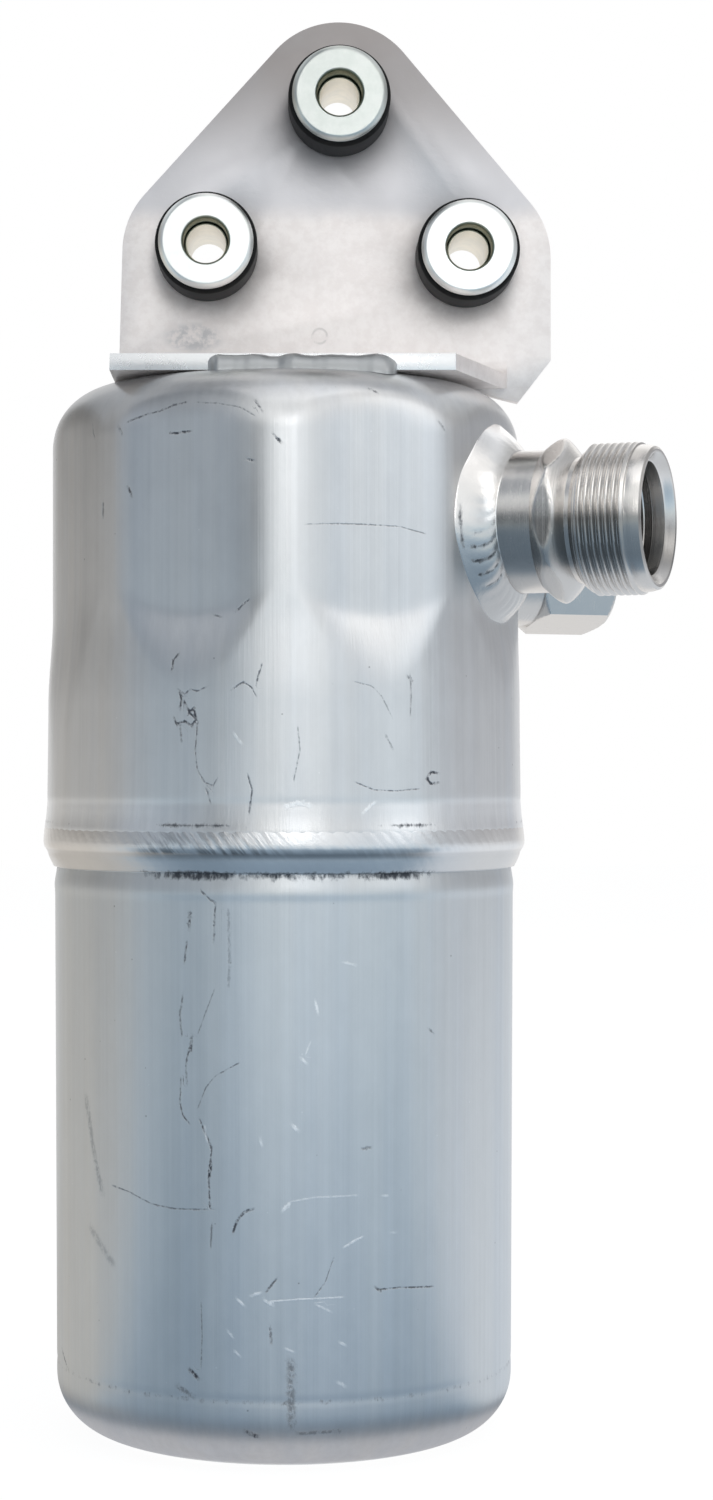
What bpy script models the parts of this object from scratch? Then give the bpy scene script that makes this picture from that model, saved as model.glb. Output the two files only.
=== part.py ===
"""Suction line accumulator: a welded two-piece aluminium can with two side ports and a
rubber-bushed mounting bracket. Metres, +Z up. The origin is the centre of the can's flat
base and -Y is the front. An azimuth is measured from the front towards +X."""

import math

import bmesh
import bpy
from mathutils import Matrix, Vector

# Clearances
SEAT_GAP = 0.0003
CUT_MARGIN = 0.001

# Can
BODY_DIAMETER = 0.0900
BODY_WALL = 0.0020
CAN_HEIGHT = 0.1965
SHOULDER_RADIUS = 0.0115
UPPER_RIM_HEIGHT = 0.1110
LOWER_STEP_IN = 0.0013
LOWER_TAPER = 0.0004
BASE_CORNER_RADIUS = 0.0110
SPIGOT_LENGTH = 0.0074
JOGGLE_LENGTH = 0.0030
SPIGOT_LEAD_IN = 0.0008

# Pressed flats round the upper shell
FLAT_COUNT = 8
FLAT_DEPTH = 0.0020
FLAT_FOOT_BELOW_TOP = 0.0445
FLAT_RUNOUT = 0.0110

# Girth weld
GIRTH_BEAD_STANDING = 0.00085
GIRTH_BEAD_ABOVE_RIM = 0.0044
GIRTH_BEAD_BELOW_RIM = 0.0048

# Outlet port, measured out from the pressed flat
OUTLET_FLAT_NUMBER = 1
OUTLET_BELOW_TOP = 0.0263
OUTLET_SPIGOT_DIAMETER = 0.0212
OUTLET_NECK_DIAMETER = 0.0262
OUTLET_NECK_LENGTH = 0.0086
COLLAR_ACROSS_FLATS = 0.0270
COLLAR_REAR_CONE = 0.0037
COLLAR_FRONT_CONE = 0.0030
OUTLET_GROOVE_DIAMETER = 0.0232
OUTLET_GROOVE_LENGTH = 0.0022
OUTLET_THREAD_DIAMETER = 0.0278
OUTLET_THREAD_LENGTH = 0.0102
OUTLET_NOSE_LENGTH = 0.0028
OUTLET_NOSE_TAPER = 0.00115
OUTLET_BORE = 0.0203
OUTLET_MOUTH_CHAMFER = 0.0008
OUTLET_WELD_SPREAD = 0.0060
OUTLET_WELD_HEIGHT = 0.0045

# Inlet port, measured out from its own pressed flat
INLET_FLAT_NUMBER = 2
INLET_BELOW_TOP = 0.0340
INLET_SPIGOT_DIAMETER = 0.0160
INLET_NECK_DIAMETER = 0.0192
INLET_NECK_LENGTH = 0.0085
INLET_HEX_ACROSS_FLATS = 0.0196
INLET_HEX_LENGTH = 0.0155
INLET_HEX_CHAMFER = 0.0014
INLET_HEX_TURN = math.radians(42.5)
INLET_BORE = 0.0126
INLET_MOUTH_CHAMFER = 0.0008
INLET_WELD_SPREAD = 0.0050
INLET_WELD_HEIGHT = 0.0035
SPIGOT_REACH_INSIDE = 0.0035

# Section of a port's weld, as shares of its height and spread
WELD_TOP_WIDTH = 0.20
WELD_KNEE_OUT = 0.33
WELD_KNEE_DOWN = 0.33
WELD_TOE_IN = 0.25
WELD_TOE_UP = 0.25

# Mounting bracket, one bent sheet
SHEET_THICKNESS = 0.0030
PLATE_FRONT_Y = -0.0010
BEND_INSIDE_RADIUS = 0.0025
FOOT_SETBACK = 0.0153
FOOT_RIGHT_X = 0.0310
FOOT_CUT_RIGHT_X = 0.0425
PLATE_CORNER_CHAMFER = 0.0062
PLATE_CORNER_ABOVE_FOOT = 0.0057
PLATE_CORNER_BELOW_FOOT = 0.0023
PLATE_CORNER_REACH = 0.0070
PLATE_LEFT_FLARE = 0.0008
BUSHING_MIDDLE_X = 0.0100
BUSHING_SPREAD = 0.0492
LOWER_BUSHING_RISE = 0.0267
TOP_BUSHING_RISE = 0.0275
TOP_BUSHING_OFFSET = 0.0004
RIGHT_BUSHING_DROP = 0.0012
LOBE_RADIUS = 0.0162

# Bracket welds
FRONT_BEAD_LEFT_X = -0.0137
FRONT_BEAD_RIGHT_X = 0.0204
FRONT_BEAD_WIDTH = 0.0030
FRONT_BEAD_HEIGHT = 0.0027
REAR_BEAD_LEFT_X = -0.0180
REAR_BEAD_RIGHT_X = 0.0240
REAR_BEAD_WIDTH = 0.0036
REAR_BEAD_CROWN_OUT = 0.75
REAR_BEAD_CROWN_UP = 0.60
REAR_BEAD_TOP_ANGLE = math.radians(-12)

# Bushings
GROMMET_DIAMETER = 0.0192
GROMMET_GROOVE_DIAMETER = 0.0144
GROMMET_FRONT_LENGTH = 0.0101
GROMMET_REAR_LENGTH = 0.0064
GROMMET_EDGE = 0.0009
FLANGE_DIAMETER = 0.0178
FLANGE_THICKNESS = 0.0018
FLANGE_EDGE = 0.0003
FRONT_SLEEVE_BORE = 0.0093
FRONT_SLEEVE_WALL = 0.0009
FRONT_SLEEVE_LENGTH = 0.0160
REAR_SLEEVE_BORE = 0.0070
REAR_SLEEVE_RECESS = 0.0030

# Suction tube
TUBE_DIAMETER = 0.0160
TUBE_WALL = 0.0012
TUBE_LEG_INSET = 0.0270
TUBE_OUTLET_BEND_RADIUS = 0.0150
TUBE_SOCKET_DEPTH = 0.0070
OIL_HOLE_DIAMETER = 0.0016

# Deflector over the tube's open end
DEFLECTOR_DIAMETER = 0.0600
DEFLECTOR_WALL = 0.0015
DEFLECTOR_SKIRT = 0.0080
DEFLECTOR_HEADROOM = 0.0035
DEFLECTOR_SOCKET_LENGTH = 0.0080
DEFLECTOR_MOUTH_GAP = 0.0040
DEFLECTOR_RIB_THICKNESS = 0.0016
DEFLECTOR_RIB_COUNT = 3

# Oil filter under the tube's lowest bend
FILTER_DEPTH = 0.0090
FILTER_DIAMETER = 0.0220
FILTER_WALL = 0.0016
FILTER_WINDOW_WIDTH = 0.0060
FILTER_WINDOW_HEIGHT = 0.0045
FILTER_WINDOW_COUNT = 4
SCREEN_THICKNESS = 0.0006

# Desiccant bags and their straps
BAG_CLEARANCE = 0.0056
BAG_LENGTH = 0.0800
BAG_BASE_HEIGHT = 0.0420
BAG_ROUNDING = 0.0065
STRAP_WIDTH = 0.0060
STRAP_THICKNESS = 0.0010
STRAP_INSET = 0.0180

# Smoothness of the round forms
CAN_STEPS = 56
PORT_STEPS = 28
BUSHING_STEPS = 22
ARC_STEPS = 6
SHARP_ANGLE = math.radians(30)

# Sizes that follow from those above
BODY_RADIUS = BODY_DIAMETER / 2
FLAT_PLANE = BODY_RADIUS - FLAT_DEPTH
FLAT_FOOT_HEIGHT = CAN_HEIGHT - FLAT_FOOT_BELOW_TOP
FLAT_PITCH = math.tau / FLAT_COUNT
LOWER_RADIUS = BODY_RADIUS - LOWER_STEP_IN
SPIGOT_RADIUS = BODY_RADIUS - BODY_WALL - SEAT_GAP
SPIGOT_TOP = UPPER_RIM_HEIGHT + SPIGOT_LENGTH
SPIGOT_INNER_END = FLAT_PLANE - BODY_WALL - SPIGOT_REACH_INSIDE
OUTLET_AZIMUTH = (OUTLET_FLAT_NUMBER + 0.5) * FLAT_PITCH
OUTLET_HEIGHT = CAN_HEIGHT - OUTLET_BELOW_TOP
INLET_AZIMUTH = (INLET_FLAT_NUMBER + 0.5) * FLAT_PITCH
INLET_HEIGHT = CAN_HEIGHT - INLET_BELOW_TOP
FOOT_BOTTOM = CAN_HEIGHT + SEAT_GAP
FOOT_TOP = FOOT_BOTTOM + SHEET_THICKNESS
PLATE_REAR_Y = PLATE_FRONT_Y + SHEET_THICKNESS
FOOT_FRONT_Y = FOOT_SETBACK - BODY_RADIUS
BEND_CENTRE_Y = PLATE_FRONT_Y - BEND_INSIDE_RADIUS
BEND_CENTRE_Z = FOOT_TOP + BEND_INSIDE_RADIUS
LOWER_BUSHING_Z = CAN_HEIGHT + LOWER_BUSHING_RISE
BUSHINGS = {
    "left": (BUSHING_MIDDLE_X - BUSHING_SPREAD / 2, LOWER_BUSHING_Z),
    "top": (BUSHING_MIDDLE_X + TOP_BUSHING_OFFSET, LOWER_BUSHING_Z + TOP_BUSHING_RISE),
    "right": (BUSHING_MIDDLE_X + BUSHING_SPREAD / 2, LOWER_BUSHING_Z - RIGHT_BUSHING_DROP),
}
GROMMET_FRONT = -PLATE_FRONT_Y + SEAT_GAP + GROMMET_FRONT_LENGTH
GROMMET_REAR = -PLATE_REAR_Y - SEAT_GAP - GROMMET_REAR_LENGTH
BUSHING_FRONT_FACE = GROMMET_FRONT + SEAT_GAP + FLANGE_THICKNESS
BUSHING_REAR_FACE = GROMMET_REAR - SEAT_GAP - FLANGE_THICKNESS
TUBE_RADIUS = TUBE_DIAMETER / 2
TUBE_LEG_RADIUS = BODY_RADIUS - TUBE_LEG_INSET
OUTLET_SOCKET_END = SPIGOT_INNER_END + TUBE_SOCKET_DEPTH
FILTER_FLOOR = BODY_WALL + SEAT_GAP
TUBE_LOW_POINT = FILTER_FLOOR + FILTER_DEPTH + SEAT_GAP
TUBE_UBEND_HEIGHT = TUBE_LOW_POINT + TUBE_RADIUS + TUBE_LEG_RADIUS
DEFLECTOR_TOP = CAN_HEIGHT - BODY_WALL - DEFLECTOR_HEADROOM
TUBE_MOUTH_HEIGHT = DEFLECTOR_TOP - DEFLECTOR_WALL - DEFLECTOR_MOUTH_GAP
BAG_WIDTH = 2 * TUBE_LEG_RADIUS + TUBE_DIAMETER
STRAP_CORNER_OUT = LOWER_RADIUS - LOWER_TAPER - BODY_WALL - BAG_CLEARANCE
STRAP_CORNER_CENTRE_X = BAG_WIDTH / 2 + SEAT_GAP - BAG_ROUNDING
STRAP_CORNER_CENTRE_Y = math.sqrt(
    (STRAP_CORNER_OUT - BAG_ROUNDING - STRAP_THICKNESS) ** 2 - STRAP_CORNER_CENTRE_X ** 2)
BAG_THICKNESS = STRAP_CORNER_CENTRE_Y + BAG_ROUNDING - TUBE_RADIUS - 2 * SEAT_GAP

# Collections
for old in list(bpy.data.objects):
    bpy.data.objects.remove(old, do_unlink=True)
for old in list(bpy.data.collections):
    bpy.data.collections.remove(old)
PARTS = bpy.data.collections.new("suction_line_accumulator")
CUTTERS = bpy.data.collections.new("cutters")
bpy.context.scene.collection.children.link(PARTS)
bpy.context.scene.collection.children.link(CUTTERS)


# Modelling helpers

ALONG_X = Matrix(((0, 0, 1, 0), (1, 0, 0, 0), (0, 1, 0, 0), (0, 0, 0, 1)))
FACING_FRONT = Matrix.Rotation(math.radians(90), 4, "X")


def place(piece, collection, parent=None):
    """Link a piece and hang it on its parent empty, in the parent's own frame."""
    collection.objects.link(piece)
    piece.parent = parent
    if collection == CUTTERS:
        piece.hide_render = True
        piece.display_type = "WIRE"
    return piece


def axis(name, matrix):
    """An empty whose +Z is the axis that its children are turned about."""
    empty = bpy.data.objects.new(name, None)
    PARTS.objects.link(empty)
    empty.empty_display_size = 0.01
    empty.matrix_world = matrix
    return empty


def arc(centre, radius, start, end, steps=ARC_STEPS):
    """Points from one angle to another, in degrees, about a centre."""
    points = []
    for index in range(steps + 1):
        angle = math.radians(start + (end - start) * index / steps)
        points.append((centre[0] + radius * math.cos(angle), centre[1] + radius * math.sin(angle)))
    return points


def turned(name, profile, steps, parent=None, collection=CUTTERS):
    """A closed profile of (radius, height) turned about its parent's Z axis."""
    mesh = bpy.data.meshes.new(name)
    on_axis = profile[0][0] == 0 and profile[-1][0] == 0
    edges = [(index, index + 1) for index in range(len(profile) - 1)]
    if not on_axis:
        edges.append((len(profile) - 1, 0))
    mesh.from_pydata([(radius, 0, height) for radius, height in profile], edges, [])
    piece = place(bpy.data.objects.new(name, mesh), collection, parent)
    screw = piece.modifiers.new("turn", "SCREW")
    screw.steps = steps
    screw.render_steps = steps
    screw.use_merge_vertices = True
    screw.merge_threshold = 0.00001
    return piece


def rod(name, radius, low, high, steps, parent=None, sides_up=0.0):
    """A cutter cylinder, or a hexagon with six steps, along its parent's Z axis."""
    mesh = bpy.data.meshes.new(name)
    form = bmesh.new()
    turn = Matrix.Translation((0, 0, (low + high) / 2)) @ Matrix.Rotation(sides_up, 4, "Z")
    bmesh.ops.create_cone(
        form, cap_ends=True, segments=steps, radius1=radius, radius2=radius,
        depth=high - low, matrix=turn)
    form.to_mesh(mesh)
    form.free()
    return place(bpy.data.objects.new(name, mesh), CUTTERS, parent)


def block(name, low, high, parent=None, collection=CUTTERS):
    """A box between two corners."""
    mesh = bpy.data.meshes.new(name)
    form = bmesh.new()
    low, high = Vector(low), Vector(high)
    size = Matrix.Diagonal((*(high - low), 1))
    bmesh.ops.create_cube(form, size=1, matrix=Matrix.Translation((low + high) / 2) @ size)
    form.to_mesh(mesh)
    form.free()
    return place(bpy.data.objects.new(name, mesh), collection, parent)


def welded_mesh(source):
    """A curve's own mesh with its loose caps joined, in place of the curve."""
    bpy.context.view_layer.update()
    depsgraph = bpy.context.evaluated_depsgraph_get()
    mesh = bpy.data.meshes.new_from_object(source.evaluated_get(depsgraph))
    form = bmesh.new()
    form.from_mesh(mesh)
    bmesh.ops.remove_doubles(form, verts=form.verts, dist=0.000001)
    bmesh.ops.recalc_face_normals(form, faces=form.faces)
    form.to_mesh(mesh)
    form.free()
    return mesh


def from_curve(curve_object, collection, parent, local):
    """The closed mesh object that takes a curve's place."""
    PARTS.objects.link(curve_object)
    mesh = welded_mesh(curve_object)
    mesh.transform(local)
    name = curve_object.name
    bpy.data.objects.remove(curve_object, do_unlink=True)
    return place(bpy.data.objects.new(name, mesh), collection, parent)


def sheet(name, outline, low, high, local=Matrix(), parent=None, collection=CUTTERS):
    """A flat outline thickened along its own normal, from low to high."""
    curve = bpy.data.curves.new(name, "CURVE")
    curve.dimensions = "2D"
    curve.fill_mode = "BOTH"
    curve.extrude = (high - low) / 2
    spline = curve.splines.new("POLY")
    spline.points.add(len(outline) - 1)
    for point, (across, up) in zip(spline.points, outline):
        point.co = (across, up, 0, 1)
    spline.use_cyclic_u = True
    middle = Matrix.Translation((0, 0, (low + high) / 2))
    return from_curve(bpy.data.objects.new(name, curve), collection, parent, local @ middle)


def pipe(name, path, radius, parent=None, collection=CUTTERS):
    """A solid rod along a path of points."""
    curve = bpy.data.curves.new(name, "CURVE")
    curve.dimensions = "3D"
    curve.bevel_depth = radius
    curve.bevel_resolution = 4
    curve.use_fill_caps = True
    spline = curve.splines.new("POLY")
    spline.points.add(len(path) - 1)
    for point, position in zip(spline.points, path):
        point.co = (*position, 1)
    return from_curve(bpy.data.objects.new(name, curve), collection, parent, Matrix())


def combine(piece, other, operation):
    """Cut, join or keep the overlap of a piece with another."""
    change = piece.modifiers.new(operation.lower(), "BOOLEAN")
    change.operation = operation
    change.solver = "EXACT"
    change.object = other
    return piece


def settle(piece):
    """Make a piece's modifiers its own mesh."""
    bpy.context.view_layer.update()
    depsgraph = bpy.context.evaluated_depsgraph_get()
    mesh = bpy.data.meshes.new_from_object(piece.evaluated_get(depsgraph))
    piece.modifiers.clear()
    piece.data = mesh
    return piece


def finish(piece, material):
    """Settle a part, shade it and give it its material."""
    settle(piece)
    piece.data.name = piece.name
    piece.data.shade_smooth()
    piece.data.set_sharp_from_angle(angle=SHARP_ANGLE)
    piece.data.materials.clear()
    piece.data.materials.append(material)
    return piece


def as_part(piece):
    """Move a piece that was built among the cutters into the parts."""
    CUTTERS.objects.unlink(piece)
    PARTS.objects.link(piece)
    piece.hide_render = False
    piece.display_type = "TEXTURED"
    return piece


def finish_material(name, colour, roughness, metallic):
    """A Principled BSDF material."""
    material = bpy.data.materials.new(name)
    material.use_nodes = True
    shader = material.node_tree.nodes["Principled BSDF"]
    shader.inputs["Base Color"].default_value = (*colour, 1)
    shader.inputs["Roughness"].default_value = roughness
    shader.inputs["Metallic"].default_value = metallic
    return material


DRAWN_ALUMINIUM = finish_material("drawn_aluminium", (0.66, 0.68, 0.70), 0.38, 1.0)
MACHINED_ALUMINIUM = finish_material("machined_aluminium", (0.78, 0.78, 0.76), 0.25, 1.0)
WELD_ALUMINIUM = finish_material("weld_aluminium", (0.55, 0.55, 0.54), 0.35, 1.0)
ZINC_STEEL = finish_material("zinc_plated_steel", (0.74, 0.75, 0.70), 0.30, 1.0)
BLACK_RUBBER = finish_material("black_rubber", (0.02, 0.02, 0.02), 0.60, 0.0)
WHITE_NYLON = finish_material("white_nylon", (0.80, 0.78, 0.70), 0.45, 0.0)
FILTER_MESH = finish_material("filter_mesh", (0.55, 0.55, 0.52), 0.70, 0.0)
BAG_FELT = finish_material("bag_felt", (0.86, 0.85, 0.82), 0.95, 0.0)


# Can

def can_form(name, inset, foot):
    """The pressed upper shell as a solid, its skin moved in by inset, down to a foot height."""
    radius = BODY_RADIUS - inset
    top = CAN_HEIGHT - inset
    corner = SHOULDER_RADIUS - inset
    plane = FLAT_PLANE - inset
    shoulder = arc((radius - corner, top - corner), corner, 90, 0)
    form = turned(name, [(0, top), *shoulder, (radius, foot), (0, foot)], CAN_STEPS)
    half_chord = math.sqrt(radius ** 2 - plane ** 2) + CUT_MARGIN
    reach = FLAT_DEPTH + 2 * CUT_MARGIN
    runout_drop = FLAT_RUNOUT * reach / FLAT_DEPTH
    side = [
        (plane, FLAT_FOOT_HEIGHT),
        (plane + reach, FLAT_FOOT_HEIGHT - runout_drop),
        (plane + reach, top + CUT_MARGIN),
        (plane, top + CUT_MARGIN),
    ]
    upright = Matrix.Rotation(math.radians(90), 4, "X")
    for number in range(FLAT_COUNT):
        turn = Matrix.Rotation((number + 0.5) * FLAT_PITCH - math.radians(90), 4, "Z")
        press = sheet(f"{name}_press_{number}", side, -half_chord, half_chord, turn @ upright)
        combine(form, press, "DIFFERENCE")
    return settle(form)


def lower_shell():
    """A drawn cup whose mouth is joggled in to slip inside the upper shell."""
    joggle_foot = UPPER_RIM_HEIGHT - GIRTH_BEAD_BELOW_RIM + CUT_MARGIN
    joggle_top = joggle_foot + JOGGLE_LENGTH
    base_radius = LOWER_RADIUS - LOWER_TAPER
    corner = BASE_CORNER_RADIUS
    inner_corner = corner - BODY_WALL
    base_centre = (base_radius - corner, corner)
    outside = [
        (SPIGOT_RADIUS - SPIGOT_LEAD_IN, SPIGOT_TOP),
        (SPIGOT_RADIUS, SPIGOT_TOP - SPIGOT_LEAD_IN),
        (SPIGOT_RADIUS, joggle_top),
        (LOWER_RADIUS, joggle_foot),
        *arc(base_centre, corner, 0, -90),
        (0, 0),
    ]
    inside = [
        (0, BODY_WALL),
        *arc(base_centre, inner_corner, -90, 0),
        (LOWER_RADIUS - BODY_WALL, joggle_foot),
        (SPIGOT_RADIUS - BODY_WALL, joggle_top),
        (SPIGOT_RADIUS - BODY_WALL, SPIGOT_TOP),
    ]
    shell = turned("lower_shell", inside + outside, CAN_STEPS, None, PARTS)
    return finish(shell, DRAWN_ALUMINIUM)


def upper_shell(port_axes):
    """A drawn cap with a domed shoulder, eight pressed flats and two port holes."""
    shell = as_part(can_form("upper_shell", 0, UPPER_RIM_HEIGHT))
    combine(shell, can_form("upper_shell_hollow", BODY_WALL, UPPER_RIM_HEIGHT - CUT_MARGIN), "DIFFERENCE")
    for name, diameter in (("outlet", OUTLET_SPIGOT_DIAMETER), ("inlet", INLET_SPIGOT_DIAMETER)):
        hole = rod(
            f"{name}_hole", diameter / 2 + SEAT_GAP, BODY_RADIUS / 2, BODY_DIAMETER,
            PORT_STEPS, port_axes[name])
        combine(shell, hole, "DIFFERENCE")
    return finish(shell, DRAWN_ALUMINIUM)


def girth_weld():
    """The bead round the lap, seated on the rim, the upper skin and the lower skin."""
    crown = BODY_RADIUS + GIRTH_BEAD_STANDING
    top = UPPER_RIM_HEIGHT + GIRTH_BEAD_ABOVE_RIM
    foot = UPPER_RIM_HEIGHT - GIRTH_BEAD_BELOW_RIM
    on_upper = BODY_RADIUS + SEAT_GAP
    on_lower = LOWER_RADIUS + SEAT_GAP
    profile = [
        (on_upper, top),
        ((on_upper + crown) / 2, top - GIRTH_BEAD_STANDING / 2),
        (crown, UPPER_RIM_HEIGHT + GIRTH_BEAD_ABOVE_RIM / 2),
        (crown, UPPER_RIM_HEIGHT - GIRTH_BEAD_BELOW_RIM / 3),
        ((on_lower + crown) / 2 + GIRTH_BEAD_STANDING / 2, foot + GIRTH_BEAD_STANDING),
        (on_lower, foot),
        (on_lower, UPPER_RIM_HEIGHT - SEAT_GAP),
        (on_upper, UPPER_RIM_HEIGHT - SEAT_GAP),
    ]
    return finish(turned("girth_weld", profile, CAN_STEPS, None, PARTS), WELD_ALUMINIUM)


# Ports

def port_axis(name, azimuth, height):
    """A frame on the can's axis with +Z out through the port and +Y up."""
    outward = Vector((math.sin(azimuth), -math.cos(azimuth), 0))
    up = Vector((0, 0, 1))
    across = up.cross(outward)
    turn = Matrix((across, up, outward)).transposed().to_4x4()
    return axis(name, Matrix.Translation((0, 0, height)) @ turn)


def hexagon(name, across_flats, low, high, parent, turn):
    """A hexagonal bar along the port's axis, with a corner at the turn angle."""
    return rod(name, across_flats / 2 / math.cos(math.pi / 6), low, high, 6, parent, turn)


def port_stem(name, neck_diameter, spigot_diameter, neck_end, parent, skin):
    """The neck, whose root follows the can's pressed skin, and the spigot through its wall."""
    neck = rod(
        f"{name}_neck", neck_diameter / 2, FLAT_PLANE - FLAT_DEPTH, neck_end, PORT_STEPS, parent)
    settle(combine(neck, skin, "DIFFERENCE"))
    spigot = rod(
        f"{name}_spigot", spigot_diameter / 2, SPIGOT_INNER_END, neck_end - CUT_MARGIN,
        PORT_STEPS, parent)
    return settle(combine(neck, spigot, "UNION"))


def outlet_fitting(parent, skin):
    """A turned male fitting: spigot, neck, coned hex collar, groove, threaded end and bore."""
    neck = OUTLET_NECK_DIAMETER / 2
    groove = OUTLET_GROOVE_DIAMETER / 2
    thread = OUTLET_THREAD_DIAMETER / 2
    bore = OUTLET_BORE / 2
    socket = TUBE_RADIUS + SEAT_GAP
    collar_start = FLAT_PLANE + OUTLET_NECK_LENGTH
    collar_peak = collar_start + COLLAR_REAR_CONE
    collar_end = collar_peak + COLLAR_FRONT_CONE
    thread_start = collar_end + OUTLET_GROOVE_LENGTH
    nose_start = thread_start + OUTLET_THREAD_LENGTH
    end = nose_start + OUTLET_NOSE_LENGTH
    corner = COLLAR_ACROSS_FLATS / 2 / math.cos(math.pi / 6)
    cones = [(0, collar_end), (groove, collar_end), (corner, collar_peak), (neck, collar_start),
             (0, collar_start)]
    fitting = turned("outlet_fitting", cones, PORT_STEPS, parent, PARTS)
    bar = hexagon(
        "outlet_collar_hexagon", COLLAR_ACROSS_FLATS, collar_start - CUT_MARGIN,
        collar_end + CUT_MARGIN, parent, math.radians(90))
    combine(fitting, bar, "INTERSECT")
    threaded_end = [
        (0, end),
        (thread - OUTLET_NOSE_TAPER, end),
        (thread, nose_start),
        (thread, thread_start),
        (groove, thread_start),
        (groove, collar_peak),
        (0, collar_peak),
    ]
    combine(fitting, turned("outlet_threaded_end", threaded_end, PORT_STEPS, parent), "UNION")
    stem = port_stem("outlet", OUTLET_NECK_DIAMETER, OUTLET_SPIGOT_DIAMETER,
                     collar_start + CUT_MARGIN, parent, skin)
    combine(fitting, stem, "UNION")
    reamer = [
        (0, end + CUT_MARGIN),
        (bore + OUTLET_MOUTH_CHAMFER + CUT_MARGIN, end + CUT_MARGIN),
        (bore, end - OUTLET_MOUTH_CHAMFER),
        (bore, OUTLET_SOCKET_END + bore - socket),
        (socket, OUTLET_SOCKET_END),
        (socket, SPIGOT_INNER_END - CUT_MARGIN),
        (0, SPIGOT_INNER_END - CUT_MARGIN),
    ]
    combine(fitting, turned("outlet_reamer", reamer, PORT_STEPS, parent), "DIFFERENCE")
    return finish(fitting, MACHINED_ALUMINIUM)


def inlet_fitting(parent, skin):
    """A turned hex socket: spigot, round neck and chamfered hexagon with a plain bore."""
    bore = INLET_BORE / 2
    hex_start = FLAT_PLANE + INLET_NECK_LENGTH
    end = hex_start + INLET_HEX_LENGTH
    corner = INLET_HEX_ACROSS_FLATS / 2 / math.cos(math.pi / 6)
    chamfer = INLET_HEX_CHAMFER
    chamfered = [
        (0, end),
        (corner - chamfer, end),
        (corner + CUT_MARGIN, end - chamfer - CUT_MARGIN),
        (corner + CUT_MARGIN, hex_start + chamfer + CUT_MARGIN),
        (corner - chamfer, hex_start),
        (0, hex_start),
    ]
    fitting = turned("inlet_fitting", chamfered, PORT_STEPS, parent, PARTS)
    bar = hexagon(
        "inlet_hexagon", INLET_HEX_ACROSS_FLATS, hex_start - CUT_MARGIN, end + CUT_MARGIN,
        parent, INLET_HEX_TURN)
    combine(fitting, bar, "INTERSECT")
    stem = port_stem("inlet", INLET_NECK_DIAMETER, INLET_SPIGOT_DIAMETER,
                     hex_start + chamfer, parent, skin)
    combine(fitting, stem, "UNION")
    reamer = [
        (0, end + CUT_MARGIN),
        (bore + INLET_MOUTH_CHAMFER + CUT_MARGIN, end + CUT_MARGIN),
        (bore, end - INLET_MOUTH_CHAMFER),
        (bore, SPIGOT_INNER_END - CUT_MARGIN),
        (0, SPIGOT_INNER_END - CUT_MARGIN),
    ]
    combine(fitting, turned("inlet_reamer", reamer, PORT_STEPS, parent), "DIFFERENCE")
    return finish(fitting, MACHINED_ALUMINIUM)


def port_weld(name, neck_diameter, spread, height, parent, skin):
    """A fillet round a port's neck that follows the can's pressed skin."""
    inner = neck_diameter / 2 + SEAT_GAP
    outer = neck_diameter / 2 + spread
    top = FLAT_PLANE + height
    root = FLAT_PLANE - FLAT_DEPTH
    profile = [
        (inner + height * WELD_TOP_WIDTH, top),
        (inner + spread * WELD_KNEE_OUT, top - height * WELD_KNEE_DOWN),
        (outer - spread * WELD_TOE_IN, FLAT_PLANE + height * WELD_TOE_UP),
        (outer, FLAT_PLANE),
        (outer, root),
        (inner, root),
        (inner, top),
    ]
    weld = turned(name, profile, PORT_STEPS, parent, PARTS)
    return finish(combine(weld, skin, "DIFFERENCE"), WELD_ALUMINIUM)


# Mounting bracket

def bushing_outline():
    """The plate's front outline: round lobes about the bushings and straight sides."""
    left, top, right = BUSHINGS["left"], BUSHINGS["top"], BUSHINGS["right"]
    rise = math.degrees(math.atan2(top[1] - left[1], top[0] - left[0]))
    fall = math.degrees(math.atan2(top[1] - right[1], right[0] - top[0]))
    right_side = right[0] + LOBE_RADIUS
    below = FOOT_BOTTOM - PLATE_CORNER_BELOW_FOOT
    return [
        (left[0] - LOBE_RADIUS - PLATE_LEFT_FLARE, below),
        *arc(left, LOBE_RADIUS, 180, 90 + rise),
        *arc(top, LOBE_RADIUS, 90 + rise, 90 - fall, 2 * ARC_STEPS),
        *arc(right, LOBE_RADIUS, 90 - fall, 0),
        (right_side, FOOT_BOTTOM + PLATE_CORNER_ABOVE_FOOT),
        (right_side - PLATE_CORNER_CHAMFER, below),
    ]


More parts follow.
